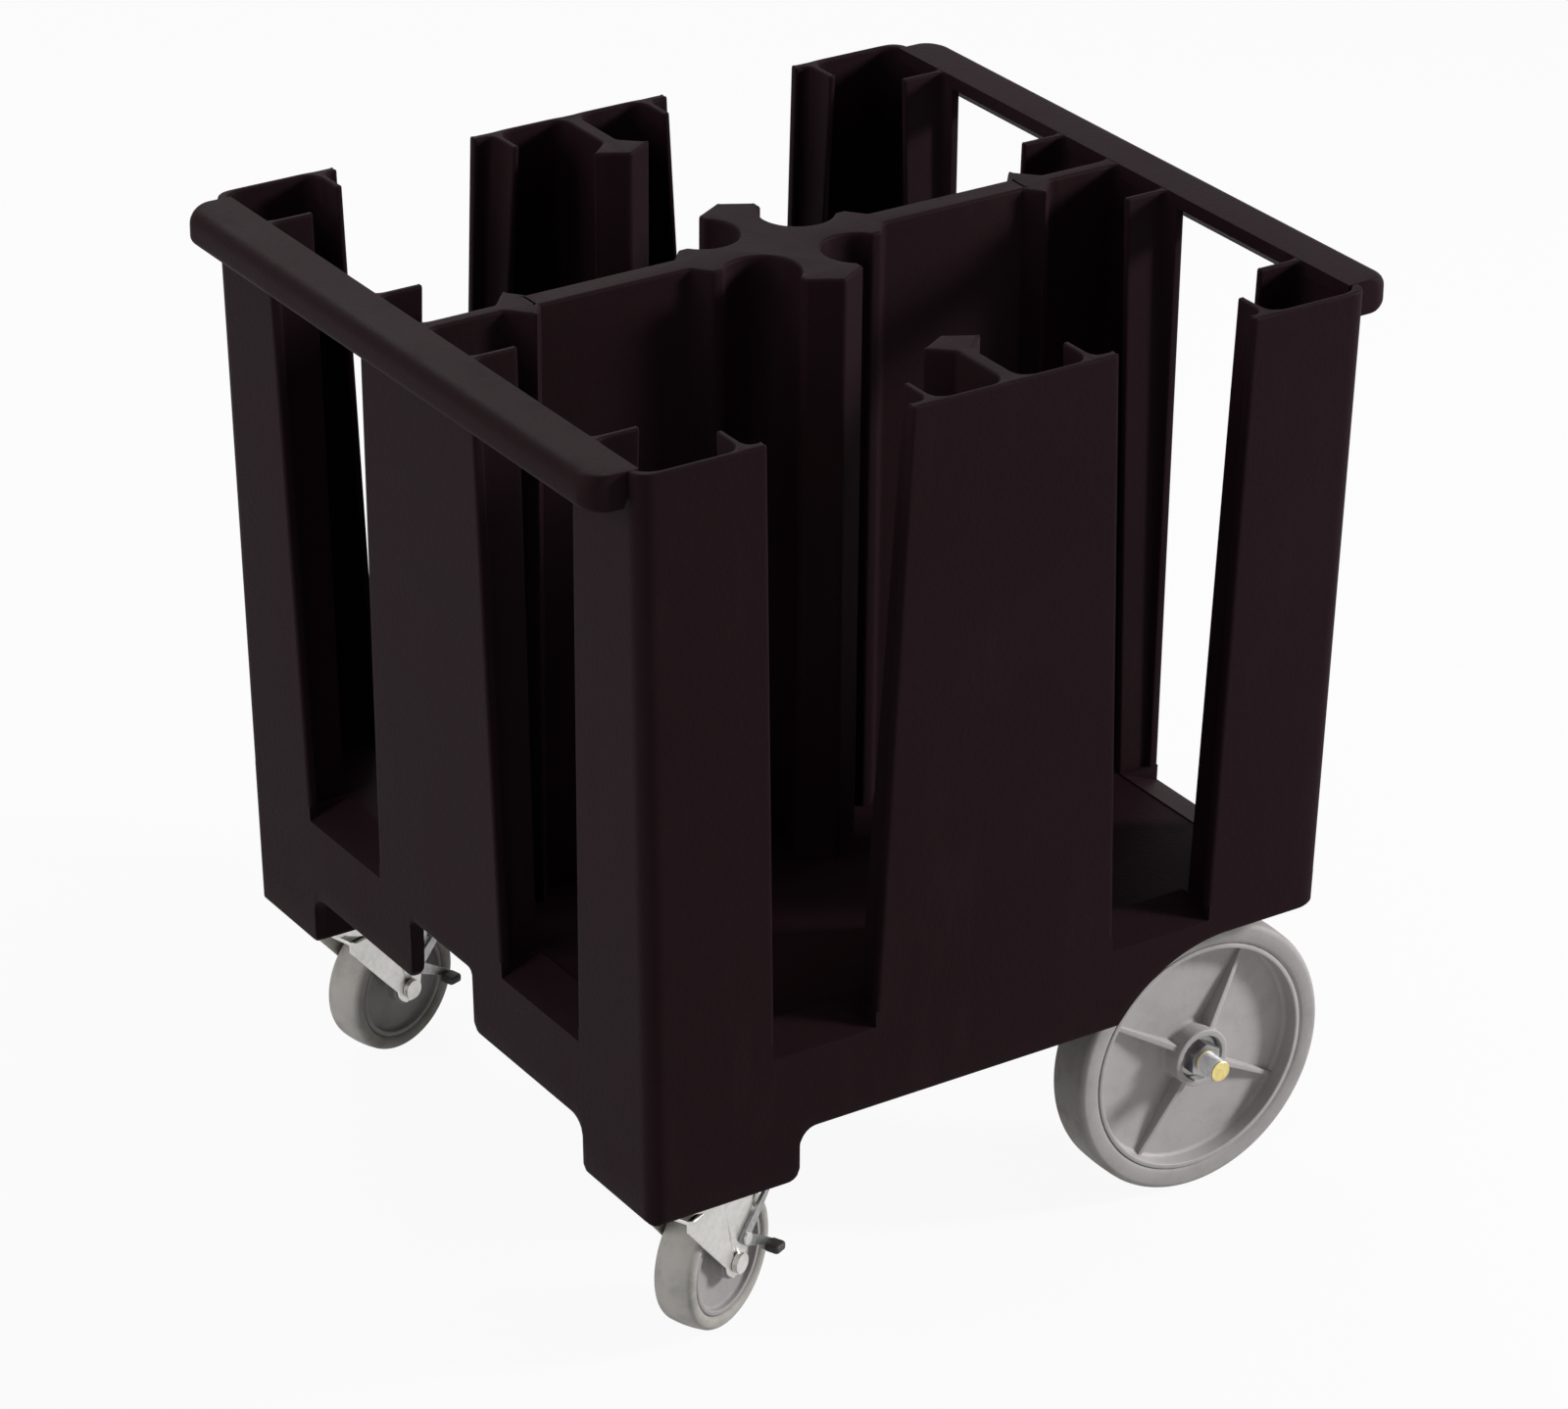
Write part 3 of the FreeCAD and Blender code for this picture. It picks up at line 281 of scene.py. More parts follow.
# %% pieces and their faces
def put(name, body, material, points, faces, sharp=40, replaces=(), grime_and_painted_shade=None):
    """A mesh from points in millimetres and faces as index arrays, riding on a body.

    Points that fall together, as where two arcs of a section meet, are merged, so that no face is left without
    width. Edges bent by more than sharp degrees are not shaded smooth, and the value for grime and painted
    shade is 0 to 1 at each point.
    """
    mesh = bpy.data.meshes.new(name)
    mesh.from_pydata(np.asarray(points, float) * MM, [], [list(face) for face in faces])
    if grime_and_painted_shade is not None:
        mesh.attributes.new("grime_and_painted_shade", "FLOAT", "POINT").data.foreach_set("value", np.asarray(grime_and_painted_shade, "f"))
    merged = bmesh.new()
    merged.from_mesh(mesh)
    bmesh.ops.remove_doubles(merged, verts=merged.verts, dist=0.002 * MM)
    merged.to_mesh(mesh)
    merged.free()
    mesh.materials.append(material)
    mesh.polygons.foreach_set("use_smooth", np.ones(len(mesh.polygons), bool))
    mesh.set_sharp_from_angle(angle=math.radians(sharp))
    piece = bpy.data.objects.new(name, mesh)
    bpy.context.scene.collection.objects.link(piece)
    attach(piece, body)
    if replaces:
        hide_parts(*replaces)
    print("%-24s %6d faces" % (name, len(mesh.polygons)))


def grid(rows, columns, closed_rows=False):
    """Quads between neighbouring points of a rows by columns array, whose rows are closed rings."""
    number = np.arange(rows * columns).reshape(rows, columns)
    below = number if closed_rows else number[:-1]
    above = np.roll(number, -1, 0) if closed_rows else number[1:]
    quads = [below, np.roll(below, -1, 1), np.roll(above, -1, 1), above]
    return np.stack(quads, -1).reshape(-1, 4)


def skin(rings):
    """Points and faces of a solid whose rings run anticlockwise seen from its last ring, with flat caps."""
    count, ring = rings.shape[:2]
    caps = [np.arange(ring)[::-1], np.arange((count - 1) * ring, count * ring)]
    return rings.reshape(-1, 3), [*grid(count, ring), *caps]


def raised(outlines, heights):
    """Rings in space from outlines in X and Y, each at its own height."""
    heights = np.broadcast_to(np.reshape(heights, (-1, 1, 1)), outlines.shape[:2] + (1,))
    return np.concatenate([outlines, heights], -1)


def gathered(parts):
    """Several lots of points and faces as one."""
    starts = np.cumsum([0] + [len(points) for points, _ in parts])
    faces = [np.asarray(face) + start for (_, some), start in zip(parts, starts) for face in some]
    return np.concatenate([points for points, _ in parts]), faces


# %% outlines
def arc(centre, radius, start, finish, count):
    """Points on a circle from one angle to another, in degrees: centre + radius (cos a, sin a)."""
    angle = np.radians(np.linspace(start, finish, count))
    return np.asarray(centre) + radius * np.stack([np.cos(angle), np.sin(angle)], -1)


def rounded_box(half_x, half_y, rounding, count):
    """Rectangle about the middle, anticlockwise, with an arc of count points at each corner."""
    return np.concatenate([
        arc((sx * (half_x - rounding), sy * (half_y - rounding)), rounding, start, start + 90, count)
        for sx, sy, start in ((1, 1, 0), (-1, 1, 90), (-1, -1, 180), (1, -1, 270))])


def trace(corners, steps):
    """Closed outline with the given number of even steps from each corner to the next."""
    corners = np.asarray(corners, float)
    following = np.roll(corners, -1, 0)
    share = np.concatenate([np.arange(n) / n for n in steps])[:, None]
    return np.repeat(corners, steps, 0) * (1 - share) + np.repeat(following, steps, 0) * share


def steps_for(corners, spacing):
    """How many steps each side of an outline takes for about the given spacing."""
    lengths = np.linalg.norm(np.roll(corners, -1, 0) - corners, axis=1)
    return np.maximum(1, np.round(lengths / spacing)).astype(int)


def softened(outline, reach):
    """Outline with each point moved to the weighted mean of its neighbours up to reach steps away."""
    weight = np.bartlett(2 * reach + 3)[1:-1]
    shifted = np.stack([np.roll(outline, k, 0) for k in range(-reach, reach + 1)])
    return np.tensordot(weight / weight.sum(), shifted, 1)


def rounding_room(outline, wanted):
    """How far each point can step in: at most wanted, 0.3 of the local thickness and 0.6 of the local radius.

    The thickness is the least distance to a point that is over twice as far away along the outline, and
    the radius is the step length over the left turn made there.
    """
    ahead = np.roll(outline, -1, 0) - outline
    length = np.linalg.norm(ahead, axis=1)
    along = np.concatenate([[0], np.cumsum(length)])
    apart = np.abs(along[:-1, None] - along[None, :-1])
    apart = np.minimum(apart, along[-1] - apart)
    straight = np.linalg.norm(outline[:, None] - outline[None], axis=2)
    thickness = np.where(apart > 2 * straight + 0.5, straight, 1e3).min(1)
    heading = np.arctan2(ahead[:, 1], ahead[:, 0])
    turn = (heading - np.roll(heading, 1) + np.pi) % (2 * np.pi) - np.pi
    radius = (length + np.roll(length, 1)) / 2 / np.maximum(turn, 1e-3)
    room = np.minimum(wanted, np.minimum(0.3 * thickness, 0.6 * radius))
    return np.minimum(room, np.minimum(np.roll(room, 1), np.roll(room, -1)))[:, None]


def inward(outline):
    """Unit normals that point into an anticlockwise outline: the tangent turned a quarter to the left."""
    tangent = np.roll(outline, -1, 0) - np.roll(outline, 1, 0)
    normal = np.stack([-tangent[:, 1], tangent[:, 0]], -1)
    return normal / np.linalg.norm(normal, axis=1, keepdims=True)


# %% [markdown]
# ## Posts and divider
#
# Each dish column stands between a corner post, a side post, an end post and the divider. The posts are thin
# walls with a lip along each slot. A fin turns in from the lip, with a round pocket behind it, and the slots
# narrow towards the floor. All of these are outlines, so one function makes every post. Lengths from here on
# are in millimetres.

# %% body measures
# Heights: the body, the tops and feet of the posts, the dish floor and the sills in the slots.
BODY_TOP, POST_TOP, SEAT, FLOOR, SILL = 830.0, 829.7, 295.0, 296.0, 282.0
# The skirt's lower edge, half of the plan there, half width and length at the top, and the corners' rounding.
SKIRT, PLAN, TOP_WIDTH, TOP_LENGTH, CORNER = 206.0, 333.0, 340.0, 348.0, 14.0
# Where the slots begin and end at the floor, and how far in the fins reach.
SIDE_SLOT, END_SLOT, REACH = (118.0, 217.2), (102.0, 224.0), 297.0
# Walls and fins by thickness, lips by depth, pockets by radius, and half the stem of a rib.
WALL, FIN, LIP, POCKET, STEM = 5, 6, 9, 14, 7
# Rounding of the posts' rims, and the spacing of points on the posts' outlines and on the base's.
RIM, POST_SPACING, BASE_SPACING = 3.0, 1.5, 3.0


def draft(bottom, top, height):
    """Half width at a height: straight from the skirt's lower edge to the top."""
    return bottom + (top - bottom) * (np.asarray(height) - SKIRT) / (BODY_TOP - SKIRT)


def half_width(height):
    return draft(PLAN, TOP_WIDTH, height)


def half_length(height):
    return draft(PLAN, TOP_LENGTH, height)


def post(name, floor_corners, top_corners, mirrors):
    """Rings from floor to top; the last six step inwards by RIM (1 - cos a) as they rise by RIM sin a."""
    steps = steps_for(np.asarray(top_corners), POST_SPACING)
    low, high = [softened(trace(corners, steps), 2) * mirrors for corners in (floor_corners, top_corners)]
    if mirrors[0] * mirrors[1] < 0:
        low, high = low[::-1], high[::-1]
    share = np.linspace(0, 1, 9)[:, None, None]
    wall = raised(low * (1 - share) + high * share, SEAT + (POST_TOP - RIM - SEAT) * share)
    bend = np.radians(np.linspace(15, 90, 6))[:, None, None]
    edge = high + inward(high) * rounding_room(high, RIM) * (1 - np.cos(bend))
    crest = raised(edge, POST_TOP - RIM + RIM * np.sin(bend))
    points, faces = skin(np.concatenate([wall, crest]))
    put("moulded_" + name, "caddy", BLACK, points, faces, replaces=[name])


# %% corner posts
def corner_outline(height, side, end, side_lean, end_lean, bend):
    """Wall round the corner at +X and +Y; along each slot a lip bends into a fin, with a pocket behind it."""
    half, reach = half_width(height), half_length(height)
    fin_x, fin_y = side + side_lean, end + end_lean
    behind, deep, inner = FIN + POCKET, WALL + POCKET, 20
    return np.concatenate([
        [(side, half), (side, half - LIP)], arc((fin_x - bend, half - LIP - bend), bend, 90, 0, 5),
        [(fin_x, REACH), (fin_x + FIN, REACH)], arc((fin_x + behind, half - deep), POCKET, 180, 90, 7),
        arc((reach - WALL - inner, half - WALL - inner), inner, 90, 0, 7),
        arc((reach - deep, fin_y + behind), POCKET, 0, -90, 7), [(REACH, fin_y + FIN), (REACH, fin_y)],
        arc((reach - LIP - bend, fin_y - bend), bend, 90, 0, 5), [(reach - LIP, end), (reach, end)],
        arc((reach - CORNER, half - CORNER), CORNER, 0, 90, 7)])


floor_corner = corner_outline(FLOOR, SIDE_SLOT[1], END_SLOT[1], side_lean=5, end_lean=5, bend=3)
top_corner = corner_outline(BODY_TOP, 232, 243, side_lean=14, end_lean=12, bend=8)
for end, x in (("rear", 1), ("front", -1)):
    for side, y in (("right", 1), ("left", -1)):
        post("corner_post_%s_%s" % (end, side), floor_corner, top_corner, (x, y))


# %% side and end posts
def centre_outline(half, edge, lean, bend, tip):
    """Lips, fins, pockets and a T-headed rib on a wall, along +Y; the right half is mirrored for the left."""
    fin, pocket_y = edge - lean, half - WALL - POCKET
    right_half = np.concatenate([
        [(edge, half), (edge, half - LIP)], arc((fin + bend, half - LIP - bend), bend, 90, 180, 5),
        [(fin, REACH), (fin - FIN, REACH)], arc((fin - FIN - POCKET, pocket_y), POCKET, 0, 90, 7),
        arc((STEM + POCKET, pocket_y), POCKET, 90, 180, 7), [(STEM, 268), (28, 249)], tip])
    left_half = right_half[::-1] * (-1, 1)
    return np.concatenate([right_half, left_half[1:] if tip[-1][0] == 0 else left_half])[::-1]


def along_x(outline):
    """An outline along +Y laid along +X, still anticlockwise."""
    return outline[::-1, ::-1]


POINTED, FLAT = [(0, 233)], [(12, 236)]
floor_side = centre_outline(half_width(FLOOR), SIDE_SLOT[0], lean=7, bend=3, tip=POINTED)
top_side = centre_outline(half_width(BODY_TOP), 98, lean=19, bend=8, tip=POINTED)
floor_end = along_x(centre_outline(half_length(FLOOR), END_SLOT[0], lean=5, bend=3, tip=FLAT))
top_end = along_x(centre_outline(half_length(BODY_TOP), 90, lean=12, bend=8, tip=FLAT))
post("side_post_right", floor_side, top_side, (1, 1))
post("side_post_left", floor_side, top_side, (1, -1))
post("end_post_rear", floor_end, top_end, (1, 1))
post("end_post_front", floor_end, top_end, (-1, 1))


# %% divider
def divider_outline():
    """A wall along X with a short cross arm: one quarter with its 32 mm scoop, mirrored three times."""
    length, arm, thick, head, scoop = 244, 98, 12, (82, 28), 32
    quarter = np.concatenate([[(length, thick), (95, thick), head], arc((47, 47), scoop, -36.4, -233.6, 21),
                              [head[::-1], (0, arm)]])
    half = np.concatenate([quarter, (quarter[::-1] * (-1, 1))[1:]])
    return np.concatenate([half, -half])


post("divider", divider_outline(), divider_outline(), (1, 1))

# %% [markdown]
# ## Base and legs
#
# The base is a deck with a skirt round it. Its wall is one profile carried along the rounded rectangle of the
# plan: from under the deck, down the inside, round the lip, up the outside and over the sloping sill to the
# deck. Only two heights change on the way: the lip, which drops at the legs and rises at the notch and over
# the wheels, and the sill, which drops at the slots.

# %% base measures
# Lower edges of the legs and of the raised parts of the skirt, and the underside of the deck.
LEG, ARCH, UNDERSIDE = 159.0, 264.0, FLOOR - 18
# Where the lip changes: beside and behind the front legs, at the notch in front and at the rear.
LEG_SIDE, LEG_BACK, NOTCH, REAR_STEP = 226, -191, 52, 256
# The rear axle, how far out its wheels are, and the arch over a wheel, which meets the skirt at ARCH_FOOT.
REAR_AXLE, TRACK, ARCH_RADIUS, ARCH_FOOT = np.array((241, 0, 127)), 281, 137.0, 129.1


def step_at(distance, low, high, low_round, high_round):
    """Height of an edge that goes from low (distance under 0) up to high, with a quarter circle at each."""
    outer = np.clip(low_round + distance, 0, low_round)
    inner = np.clip(high_round - distance, 0, high_round)
    before = low + low_round - np.sqrt(low_round ** 2 - outer ** 2)
    after = high - high_round + np.sqrt(high_round ** 2 - inner ** 2)
    return np.where(distance < 0, before, after)


def lip_height(spot):
    """Lower edge of the skirt at each point of the plan."""
    x, away = spot[:, 0], np.abs(spot[:, 1])
    leg_front = step_at(LEG_SIDE - away, LEG, SKIRT, 5, 18)
    notch = step_at(NOTCH - away, SKIRT, ARCH, 8, 8)
    front = np.where(away < (NOTCH + LEG_SIDE) / 2, notch, leg_front)
    leg_side = step_at(x - LEG_BACK, LEG, SKIRT, 10, 18)
    ahead = np.minimum(x - REAR_AXLE[0], 0)
    wheel = np.sqrt(np.clip(ARCH_RADIUS ** 2 - ahead ** 2, 0, None)) + REAR_AXLE[2]
    side = np.where(x < 0, leg_side, np.maximum(SKIRT, wheel))
    rear = step_at(away - REAR_STEP, SKIRT, ARCH, 6, 8)
    on_side = (away > PLAN - CORNER - 1) & (np.abs(x) < PLAN - CORNER + 1)
    return np.where(on_side, side, np.where(x < 0, front, rear))


def corner_lift(spot, radius=18.0):
    """Rise of the lip to the rear corners along a circle, by the distance from the corner."""
    away = np.hypot(spot[:, 0] - PLAN, np.abs(spot[:, 1]) - PLAN)
    return radius - np.sqrt(radius ** 2 - np.clip(radius - away, 0, radius) ** 2)


def sill_drop(spot):
    """1 at the slots and 0 under the posts, for the sill's outer edge."""
    x, y = np.abs(spot[:, 0]), np.abs(spot[:, 1])
    at_side = (x > SIDE_SLOT[0]) & (x < SIDE_SLOT[1])
    at_end = (x > PLAN - 1) & (y > END_SLOT[0]) & (y < END_SLOT[1])
    return np.where(y > PLAN - 1, at_side, at_end).astype(float)


# %% the skirt and deck
def split_steps(spot):
    """The plan with extra points just either side of each jump in the lip or the sill."""
    marks, beside = [], (-0.05, 0.05)
    for x in (-SIDE_SLOT[1], LEG_BACK, -SIDE_SLOT[0], SIDE_SLOT[0], ARCH_FOOT, SIDE_SLOT[1]):
        marks += [(x + d, s * PLAN) for s in (-1, 1) for d in beside]
    for y in (NOTCH, *END_SLOT, LEG_SIDE, REAR_STEP):
        marks += [(sx * PLAN, sy * y + d) for sx in (-1, 1) for sy in (-1, 1) for d in beside]
    both = np.concatenate([spot, marks])
    angle = np.arctan2(both[:, 1], both[:, 0])
    return both[np.argsort(angle)]


def inset(spot, depth):
    """Points moved inwards by clipping to a smaller rectangle, which keeps corners from crossing."""
    limit = PLAN - depth
    return np.clip(spot, -limit, limit)


corners = rounded_box(PLAN, PLAN, CORNER, 9)
path = split_steps(trace(corners, steps_for(corners, BASE_SPACING)))
inner_lip = lip_height(path)
outer_lip = inner_lip + corner_lift(path)
sill = FLOOR - (FLOOR - SILL) * sill_drop(path)
even, lip_round, thick = np.ones(len(path)), 4.0, 12.0
bend = np.radians([30, 60, 90])
draw, rise = lip_round * (1 - np.cos(bend)), lip_round * (1 - np.sin(bend))
profile = [(thick, UNDERSIDE * even), (thick, inner_lip + lip_round)]
profile += [(thick - d, inner_lip + r) for d, r in zip(draw, rise)]
profile += [(d, outer_lip + r) for d, r in zip(draw[::-1], rise[::-1])]
profile += [(0.0, (outer_lip + lip_round) * (1 - share) + sill * share) for share in np.linspace(0, 1, 6)]
profile += [(PLAN - REACH, FLOOR * even), (PLAN + 1 - REACH, SEAT * even)]
rings = []
for depth, height in profile:
    lean = np.stack([half_length(height) / PLAN, half_width(height) / PLAN], -1)
    spot = inset(path, depth) * np.where(depth < lip_round + 1, lean, 1)
    rings.append(np.concatenate([spot, height[:, None]], -1))
points, faces = skin(np.stack(rings))
put("moulded_base", "caddy", BLACK, points, faces, sharp=35, replaces=["base"])


# %% legs over the casters
def leg_block(side, sign):
    """Solid block inside the skirt's corner, with a rounded lower rim."""
    outer, rim, clear = PLAN - 4, 4, 0.3
    corners = np.array([(-outer, LEG_SIDE), (LEG_BACK, LEG_SIDE), (LEG_BACK, outer), (-outer, outer)], float)
    outline = softened(trace(corners, steps_for(corners, BASE_SPACING)), 2) * (1, sign)
    outline = outline[::sign]
    bend = np.radians(np.linspace(90, 0, 6))[:, None, None]
    edge = outline + inward(outline) * rim * (1 - np.cos(bend))
    low = raised(edge, LEG + clear + rim * (1 - np.sin(bend)))
    high = raised(outline[None], UNDERSIDE + 1)
    points, faces = skin(np.concatenate([low, high]))
    put("moulded_leg_" + side, "caddy", BLACK, points, faces, replaces=["front_leg_" + side])


leg_block("left", -1)
leg_block("right", 1)

# %% [markdown]
# ## Handle rails
#
# A rail runs across the top of each end. It is a short profile with a finger chamfer underneath, swept along
# Y, and the sweep narrows along a quarter circle at each end. It reaches over the post tops, so that rail and
# posts read as one moulding.


# %% rails
def rail(name, sign):
    """Profile in X and Z along Y; near each end the outer face draws in by r - sqrt(r^2 - (r - s)^2)."""
    inner, outer, low, half, r = 338.0, 384.0, 800.0, 325.0, 18.0
    low_round, top_round = 8, 12
    profile = np.concatenate([
        [(inner, BODY_TOP), (inner, 818), (348, 815), (360, low)],
        arc((outer - low_round, low + low_round), low_round, 270, 360, 6),
        arc((outer - top_round, BODY_TOP - top_round), top_round, 0, 90, 8)])
    bend = np.radians(np.linspace(0, 90, 9))
    stations = np.concatenate([-half + r - r * np.cos(bend), half - r + r * np.sin(bend)])
    draw = np.concatenate([r - r * np.sin(bend), r - r * np.cos(bend)])
    share = (outer - draw - inner) / (outer - inner)
    x = inner + (profile[:, 0] - inner) * share[:, None]
    rings = np.stack(np.broadcast_arrays(sign * x, stations[:, None], profile[:, 1]), -1)
    points, faces = skin(rings[:, ::-sign])
    put("moulded_" + name, "caddy", BLACK, points, faces, replaces=[name])


rail("rail_rear", 1)
rail("rail_front", -1)

# %% [markdown]
# ## Wheels
#
# A wheel is a section turned about its axle: each point of the section has a place along the axle and a
# radius, and becomes a ring. The tyre meets the rim in a fine groove, the web is set well back, and four ribs
# run from the hub to the rim, tall at the hub and low at the rim. The axle's threaded ends stand out past the
# nuts.


# %% turning a section
def turned(section, count=144):
    """Surface about +Y of a closed section (a, r), anticlockwise: each point becomes (r cos t, a, r sin t)."""
    along, radius = np.asarray(section, float).T[:, :, None]
    angle = np.linspace(0, 2 * np.pi, count, endpoint=False)
    rings = np.stack(np.broadcast_arrays(radius * np.cos(angle), along, radius * np.sin(angle)), -1)
    return rings.reshape(-1, 3), grid(len(along), count, closed_rows=True)


def both_ways(right_half):
    """A section that is the same on both sides, from its right half listed from the axle outwards."""
    right_half = np.asarray(right_half, float)
    return np.concatenate([right_half, right_half[::-1] * (-1, 1)])


def tyre_section(half, inner, outer, groove, crown):
    """Groove beside the rim, flat side, round shoulder, and a tread that rises by crown to the middle."""
    rounding = 6
    flat = half - rounding
    beside = [(half - groove - 2, inner), (half - groove, inner + 0.6), (half - 0.6, inner + 2.4),
              (half, inner + 3.6)]
    shoulder = arc((flat, outer - crown - rounding), rounding, 0, 80, 9)
    rise = np.linspace(0.75, 0, 5)
    tread = np.stack([flat * rise, outer - crown * rise ** 2], -1)
    return both_ways(np.concatenate([beside, shoulder, tread]))


def running(section, count, depth):
    """Where a turned section runs on the floor: 1 at its greatest radius, 0 from depth below it."""
    radius = np.asarray(section)[:, 1]
    return np.repeat(np.clip(1 - (radius.max() - radius) / depth, 0, 1), count)


# %% rear wheels
REAR_STEPS, REAR_TYRE = 180, tyre_section(22, 107, 127, groove=1.5, crown=0.5)


def rear_core():
    """Bore, cup for the nut, raised hub, web 5 mm either side of the middle, and a thin rim."""
    return both_ways(np.concatenate([
        [(14, 9.6), (14, 21), (23, 21)], arc((23.2, 21.8), 0.8, 270, 360, 4), [(24, 25.6)],
        arc((22.6, 25.6), 1.4, 0, 90, 5), arc((9, 31), 4, 270, 180, 6), arc((9, 98.5), 4, 180, 90, 6),
        [(20.2, 102.5)], arc((20.2, 103.7), 1.2, 270, 360, 5), [(21.4, 106.3), (21.1, 106.8), (18, 107)]]))


def rib(angle):
    """Tapered bar along a radius, about 5 mm wide: half height 19 at the hub and 8 at the rim."""
    corners = np.array([(-2.5, -1), (2.5, -1), (2.5, 1), (-2.5, 1)], float)
    rings = []
    for radius, height, width in ((25.0, 19.0, 1.25), (62.0, 13.9, 1.05), (104.0, 8.0, 0.85)):
        outline = softened(trace(corners * (width, height), (6, 20, 6, 20)), 1)
        rings.append(np.stack([np.full(len(outline), radius), outline[:, 1], outline[:, 0]], -1))
    points, faces = skin(np.stack(rings))
    c, s = math.cos(math.radians(angle)), math.sin(math.radians(angle))
    return points @ np.array([(c, 0, s), (0, 1, 0), (-s, 0, c)]), faces


for side, sign in (("left", -1), ("right", 1)):
    roller, hub = "rear_roller_" + side, REAR_AXLE + (0, sign * TRACK, 0)
    points, faces = gathered([turned(rear_core())] + [rib(angle) for angle in (60, 150, 240, 330)])
    put("moulded_rear_wheel_" + side, roller, CORE, points + hub, faces, replaces=["rear_wheel_" + side])
    points, faces = turned(REAR_TYRE, REAR_STEPS)
    # The rear tyres are darkest on the tread where they run: partly floor dirt, partly painted shade.
    put("rubber_rear_tyre_" + side, roller, TYRE, points + hub, faces, replaces=["rear_tyre_" + side],
        grime_and_painted_shade=running(REAR_TYRE, REAR_STEPS, 3.0))


# %% rear axle
THREAD_END, THREAD_LENGTH, AXLE_STEPS = 330.6, 20, 48
AXLE_END = [(311, 9.5), (311.4, 8.6), (330.4, 8.6), (330.8, 9.3), (331.4, 9.3), (332, 8.7)]


def rod(stations, radii):
    """Solid bar along Y: a circle of each radius at each station, with flat ends."""
    angle = -np.linspace(0, 2 * np.pi, AXLE_STEPS, endpoint=False)
    around = np.stack([np.cos(angle), np.zeros(AXLE_STEPS), np.sin(angle)], -1)
    return skin(around * np.reshape(radii, (-1, 1, 1)) + np.reshape(stations, (-1, 1, 1)) * (0, 1, 0))


def thread(start, stop):
    """Tube with ten ridges 2 mm apart: its radius goes between 9.5 and 8.8 mm, and its bore is 8.4 mm."""
    outer, depth, bore, points = 9.5, 0.7, 8.4, 21
    along = np.linspace(stop, start, points)
    ridges = np.stack([along, outer - depth * (np.arange(points) % 2)], -1)
    return turned(np.concatenate([[(stop, bore)], ridges, [(start, bore)]]), AXLE_STEPS)


stations, radii = np.transpose(AXLE_END)
points, faces = rod([*-stations[::-1], *stations], [*radii[::-1], *radii])
put("plated_rear_axle", "caddy", YELLOW, points + REAR_AXLE, faces, replaces=["rear_axle"])
for side, start in (("left", -THREAD_END), ("right", THREAD_END - THREAD_LENGTH)):
    points, faces = thread(start, start + THREAD_LENGTH)
    put("axle_thread_" + side, "caddy", DULL, points + REAR_AXLE, faces, sharp=25)

# %% [markdown]
# ## Casters
#
# A caster is easiest to build facing straight ahead, with its swivel axis on Z, and then turned to the angle
# it rests at. The fork is folded from sheet: each cheek is a stack of thin cross sections that narrows to the
# axle, with a crease down its middle.

# %% caster wheels
# X and Y of each swivel axis, and the angle that the caster rests at.
CASTERS = {"left": (-263.0, -275.0, 25.0), "right": (-263.0, 275.0, 16.0)}
TRAIL, RADIUS = 38, 63.5
CASTER_STEPS, CASTER_TREAD = 160, tyre_section(19, 50, RADIUS, groove=2, crown=1.0)


def caster_place(points, side):
    """Local points turned about Z and moved to the caster's swivel axis."""
    x, y, angle = CASTERS[side]
    c, s = math.cos(math.radians(angle)), math.sin(math.radians(angle))
    return points @ np.array([(c, s, 0), (-s, c, 0), (0, 0, 1)]) + (x, y, 0)


def caster_core():
    """Bore, hub 16 mm in radius, web 11 mm either side of the middle, and a rim 17 mm either side."""
    return both_ways(np.concatenate([
        [(21.5, 8.1), (21.5, 14.8)], arc((20.3, 14.8), 1.2, 0, 90, 5), arc((14, 19), 3, 270, 180, 5),
        arc((14, 42), 3, 180, 90, 5), [(16, 45)], arc((16, 46), 1, 270, 360, 4),
        [(17, 48.4), (16.4, 49.4), (15, 50)]]))


for side in CASTERS:
    roller, wheel = "caster_roller_" + side, (TRAIL, 0, RADIUS)
    points, faces = turned(caster_core())
    put("moulded_caster_wheel_" + side, roller, TYRE, caster_place(points + wheel, side), faces,
        replaces=["caster_wheel_" + side])
    points, faces = turned(CASTER_TREAD, CASTER_STEPS)
    # The caster treads are darker at their sides than where they run: painted shade on the sides.
    put("rubber_caster_tread_" + side, roller, TREAD, caster_place(points + wheel, side), faces,
        replaces=["caster_tread_" + side], grime_and_painted_shade=0.5 - 0.5 * running(CASTER_TREAD, CASTER_STEPS, 2.5))


# %% caster forks
CROWN_LOW, CROWN_TOP, FORK_HALF = 133.5, 137.5, 25.5


def cheek(sign):
    """Sheet 3 mm thick from the axle foot to the crown: the front leans in, with a bead along the crease."""
    foot_round, straight, sheet = 14, 63, 3
    turn = np.radians(np.linspace(8, 90, 9))
    height = np.concatenate([RADIUS - foot_round * np.cos(turn), np.linspace(66, 126.5, 12),
                             [130, 134, CROWN_TOP]])
    foot = foot_round * np.sqrt(1 - np.clip((RADIUS - height) / foot_round, 0, 1) ** 2)
    rise = np.clip((height - RADIUS) / straight, 0, 1)
    front, rear = TRAIL - foot - 56 * rise, TRAIL + foot + 14 * rise
    share = np.linspace(0, 1, 73)
    x = front[:, None] + (rear - front)[:, None] * share
    crease = TRAIL - 16 * rise[:, None]
    lean = 2.4 * np.clip((crease - x) / 40, 0, 1)
    bead = 1.9 * np.exp(-((x - crease) / 2.6) ** 2)
    edge = 1.2 * np.clip(1 - np.minimum(share, 1 - share) * 30, 0, 1)
    outside = FORK_HALF - lean - bead - edge
    inside = FORK_HALF - sheet - lean - bead + edge * 0.3
    outline = np.concatenate([np.stack([x, sign * outside], -1), np.stack([x, sign * inside], -1)[:, ::-1]], 1)
    return skin(raised(outline, height)[:, ::-sign])


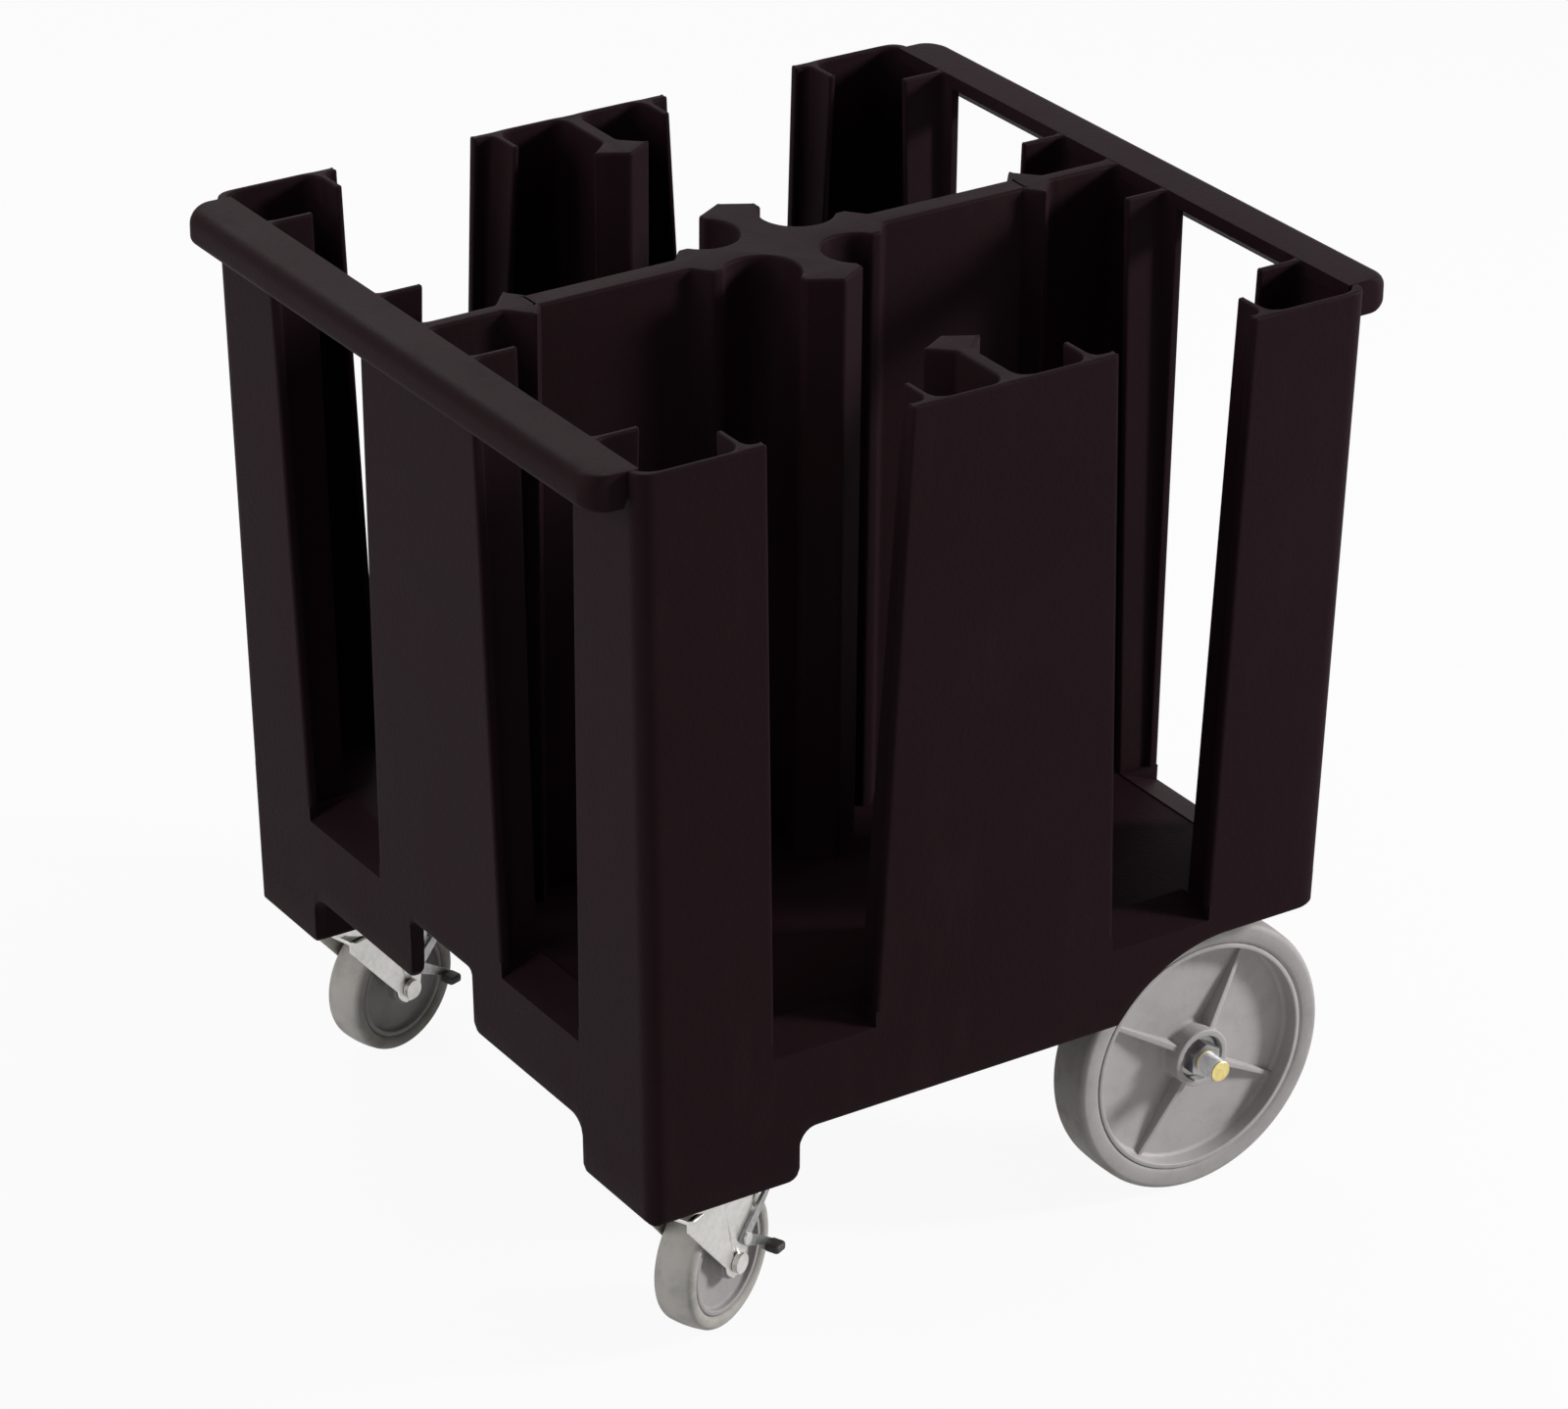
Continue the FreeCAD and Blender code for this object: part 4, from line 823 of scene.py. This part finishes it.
def plate(half_x, half_y, rounding, middle, low, high, rim):
    """Flat plate about a middle in X and Y with round corners, whose upper and lower rims are rounded."""
    outline = rounded_box(half_x, half_y, rounding, 7)
    bend = np.radians(np.linspace(0, 90, 4))
    draw = np.concatenate([rim * (1 - np.sin(bend)), rim * (1 - np.cos(bend))])
    height = np.concatenate([low + rim * (1 - np.cos(bend)), high - rim + rim * np.sin(bend)])
    return skin(raised(outline + inward(outline) * draw[:, None, None] + middle, height))


def dish():
    """Round boss on the crown that carries the swivel race."""
    top, bore, outer = 150, 6.1, 27
    section = [(top, bore), (top, outer - 1), (top - 1, outer), (137, outer), (137, outer - 1), (137, bore)]
    points, faces = turned(section, 72)
    return points[:, [0, 2, 1]] * (1, -1, 1), faces


for side in CASTERS:
    crown = plate(49, FORK_HALF, 6, (17, 0), CROWN_LOW, CROWN_TOP, rim=1.2)
    points, faces = gathered([cheek(-1), cheek(1), crown, dish()])
    put("folded_fork_" + side, "swivel_" + side, ZINC, caster_place(points, side), faces, sharp=30,
        replaces=["caster_fork_" + side])

# %% [markdown]
# ## Brakes
#
# A lever on the outside of each fork presses a shoe on the tread. Its pedal has a dark rubber pad.

# %% brake pads
PEDAL = (80.6, -35.4)
for side in CASTERS:
    points, faces = plate(7.2, 7.2, 3.5, PEDAL, 56.2, 63.8, rim=2.2)
    put("brake_pad_" + side, "brake_" + side, PAD, caster_place(points, side), faces)

# %% [markdown]
# ## Floor and light
#
# The photograph shows the caddy on plain white. The floor is pale and shows almost white to the camera, with
# a faint shadow left under the caddy. Two broad lamps, in front and on the far side, give the black plastic
# long gentle highlights. A smaller and stronger one at the rear left draws the shadows of the ribs and rims.


# %% floor
def studio_floor(grey=0.64, white_share=0.93, side=30.0):
    finish = Finish("studio_floor", Roughness=0.9, Specular_IOR_Level=0.1, Base_Color=colour(grey, grey, grey))
    finish.backdrop(Signal(finish, finish.shader.outputs[0]), white_share)
    mesh = bpy.data.meshes.new("floor")
    corners = [(-side, -side, 0), (side, -side, 0), (side, side, 0), (-side, side, 0)]
    mesh.from_pydata(corners, [], [(0, 1, 2, 3)])
    mesh.materials.append(finish.material)
    floor = bpy.data.objects.new("floor", mesh)
    bpy.context.scene.collection.objects.link(floor)


studio_floor()

# %% lamps and world
AIM = Vector((0, 0, 0.4))


def lamp(name, spot, size, power):
    """Round lamp at a spot in metres, turned to the middle of the caddy."""
    data = bpy.data.lights.new(name, "AREA")
    data.shape = "DISK"
    data.size = size
    data.energy = power
    made = bpy.data.objects.new(name, data)
    made.location = spot
    made.rotation_euler = (AIM - Vector(spot)).to_track_quat("-Z", "Y").to_euler()
    bpy.context.scene.collection.objects.link(made)


lamp("front", (-3.4, 0.2, 2.0), 2.0, 54)
lamp("side", (3.3, -2.0, 1.9), 0.8, 165)
lamp("rim", (0.6, 3.0, 3.2), 2.4, 60)
world = bpy.data.worlds.new("studio")
world.use_nodes = True
sky = Graph(world.node_tree)
sky.backdrop(sky.node("ShaderNodeBackground", {}, {"Color": colour(1, 1, 1), "Strength": 0.2}), 1.0)
bpy.context.scene.world = world
bpy.context.scene.view_settings.view_transform = "Standard"
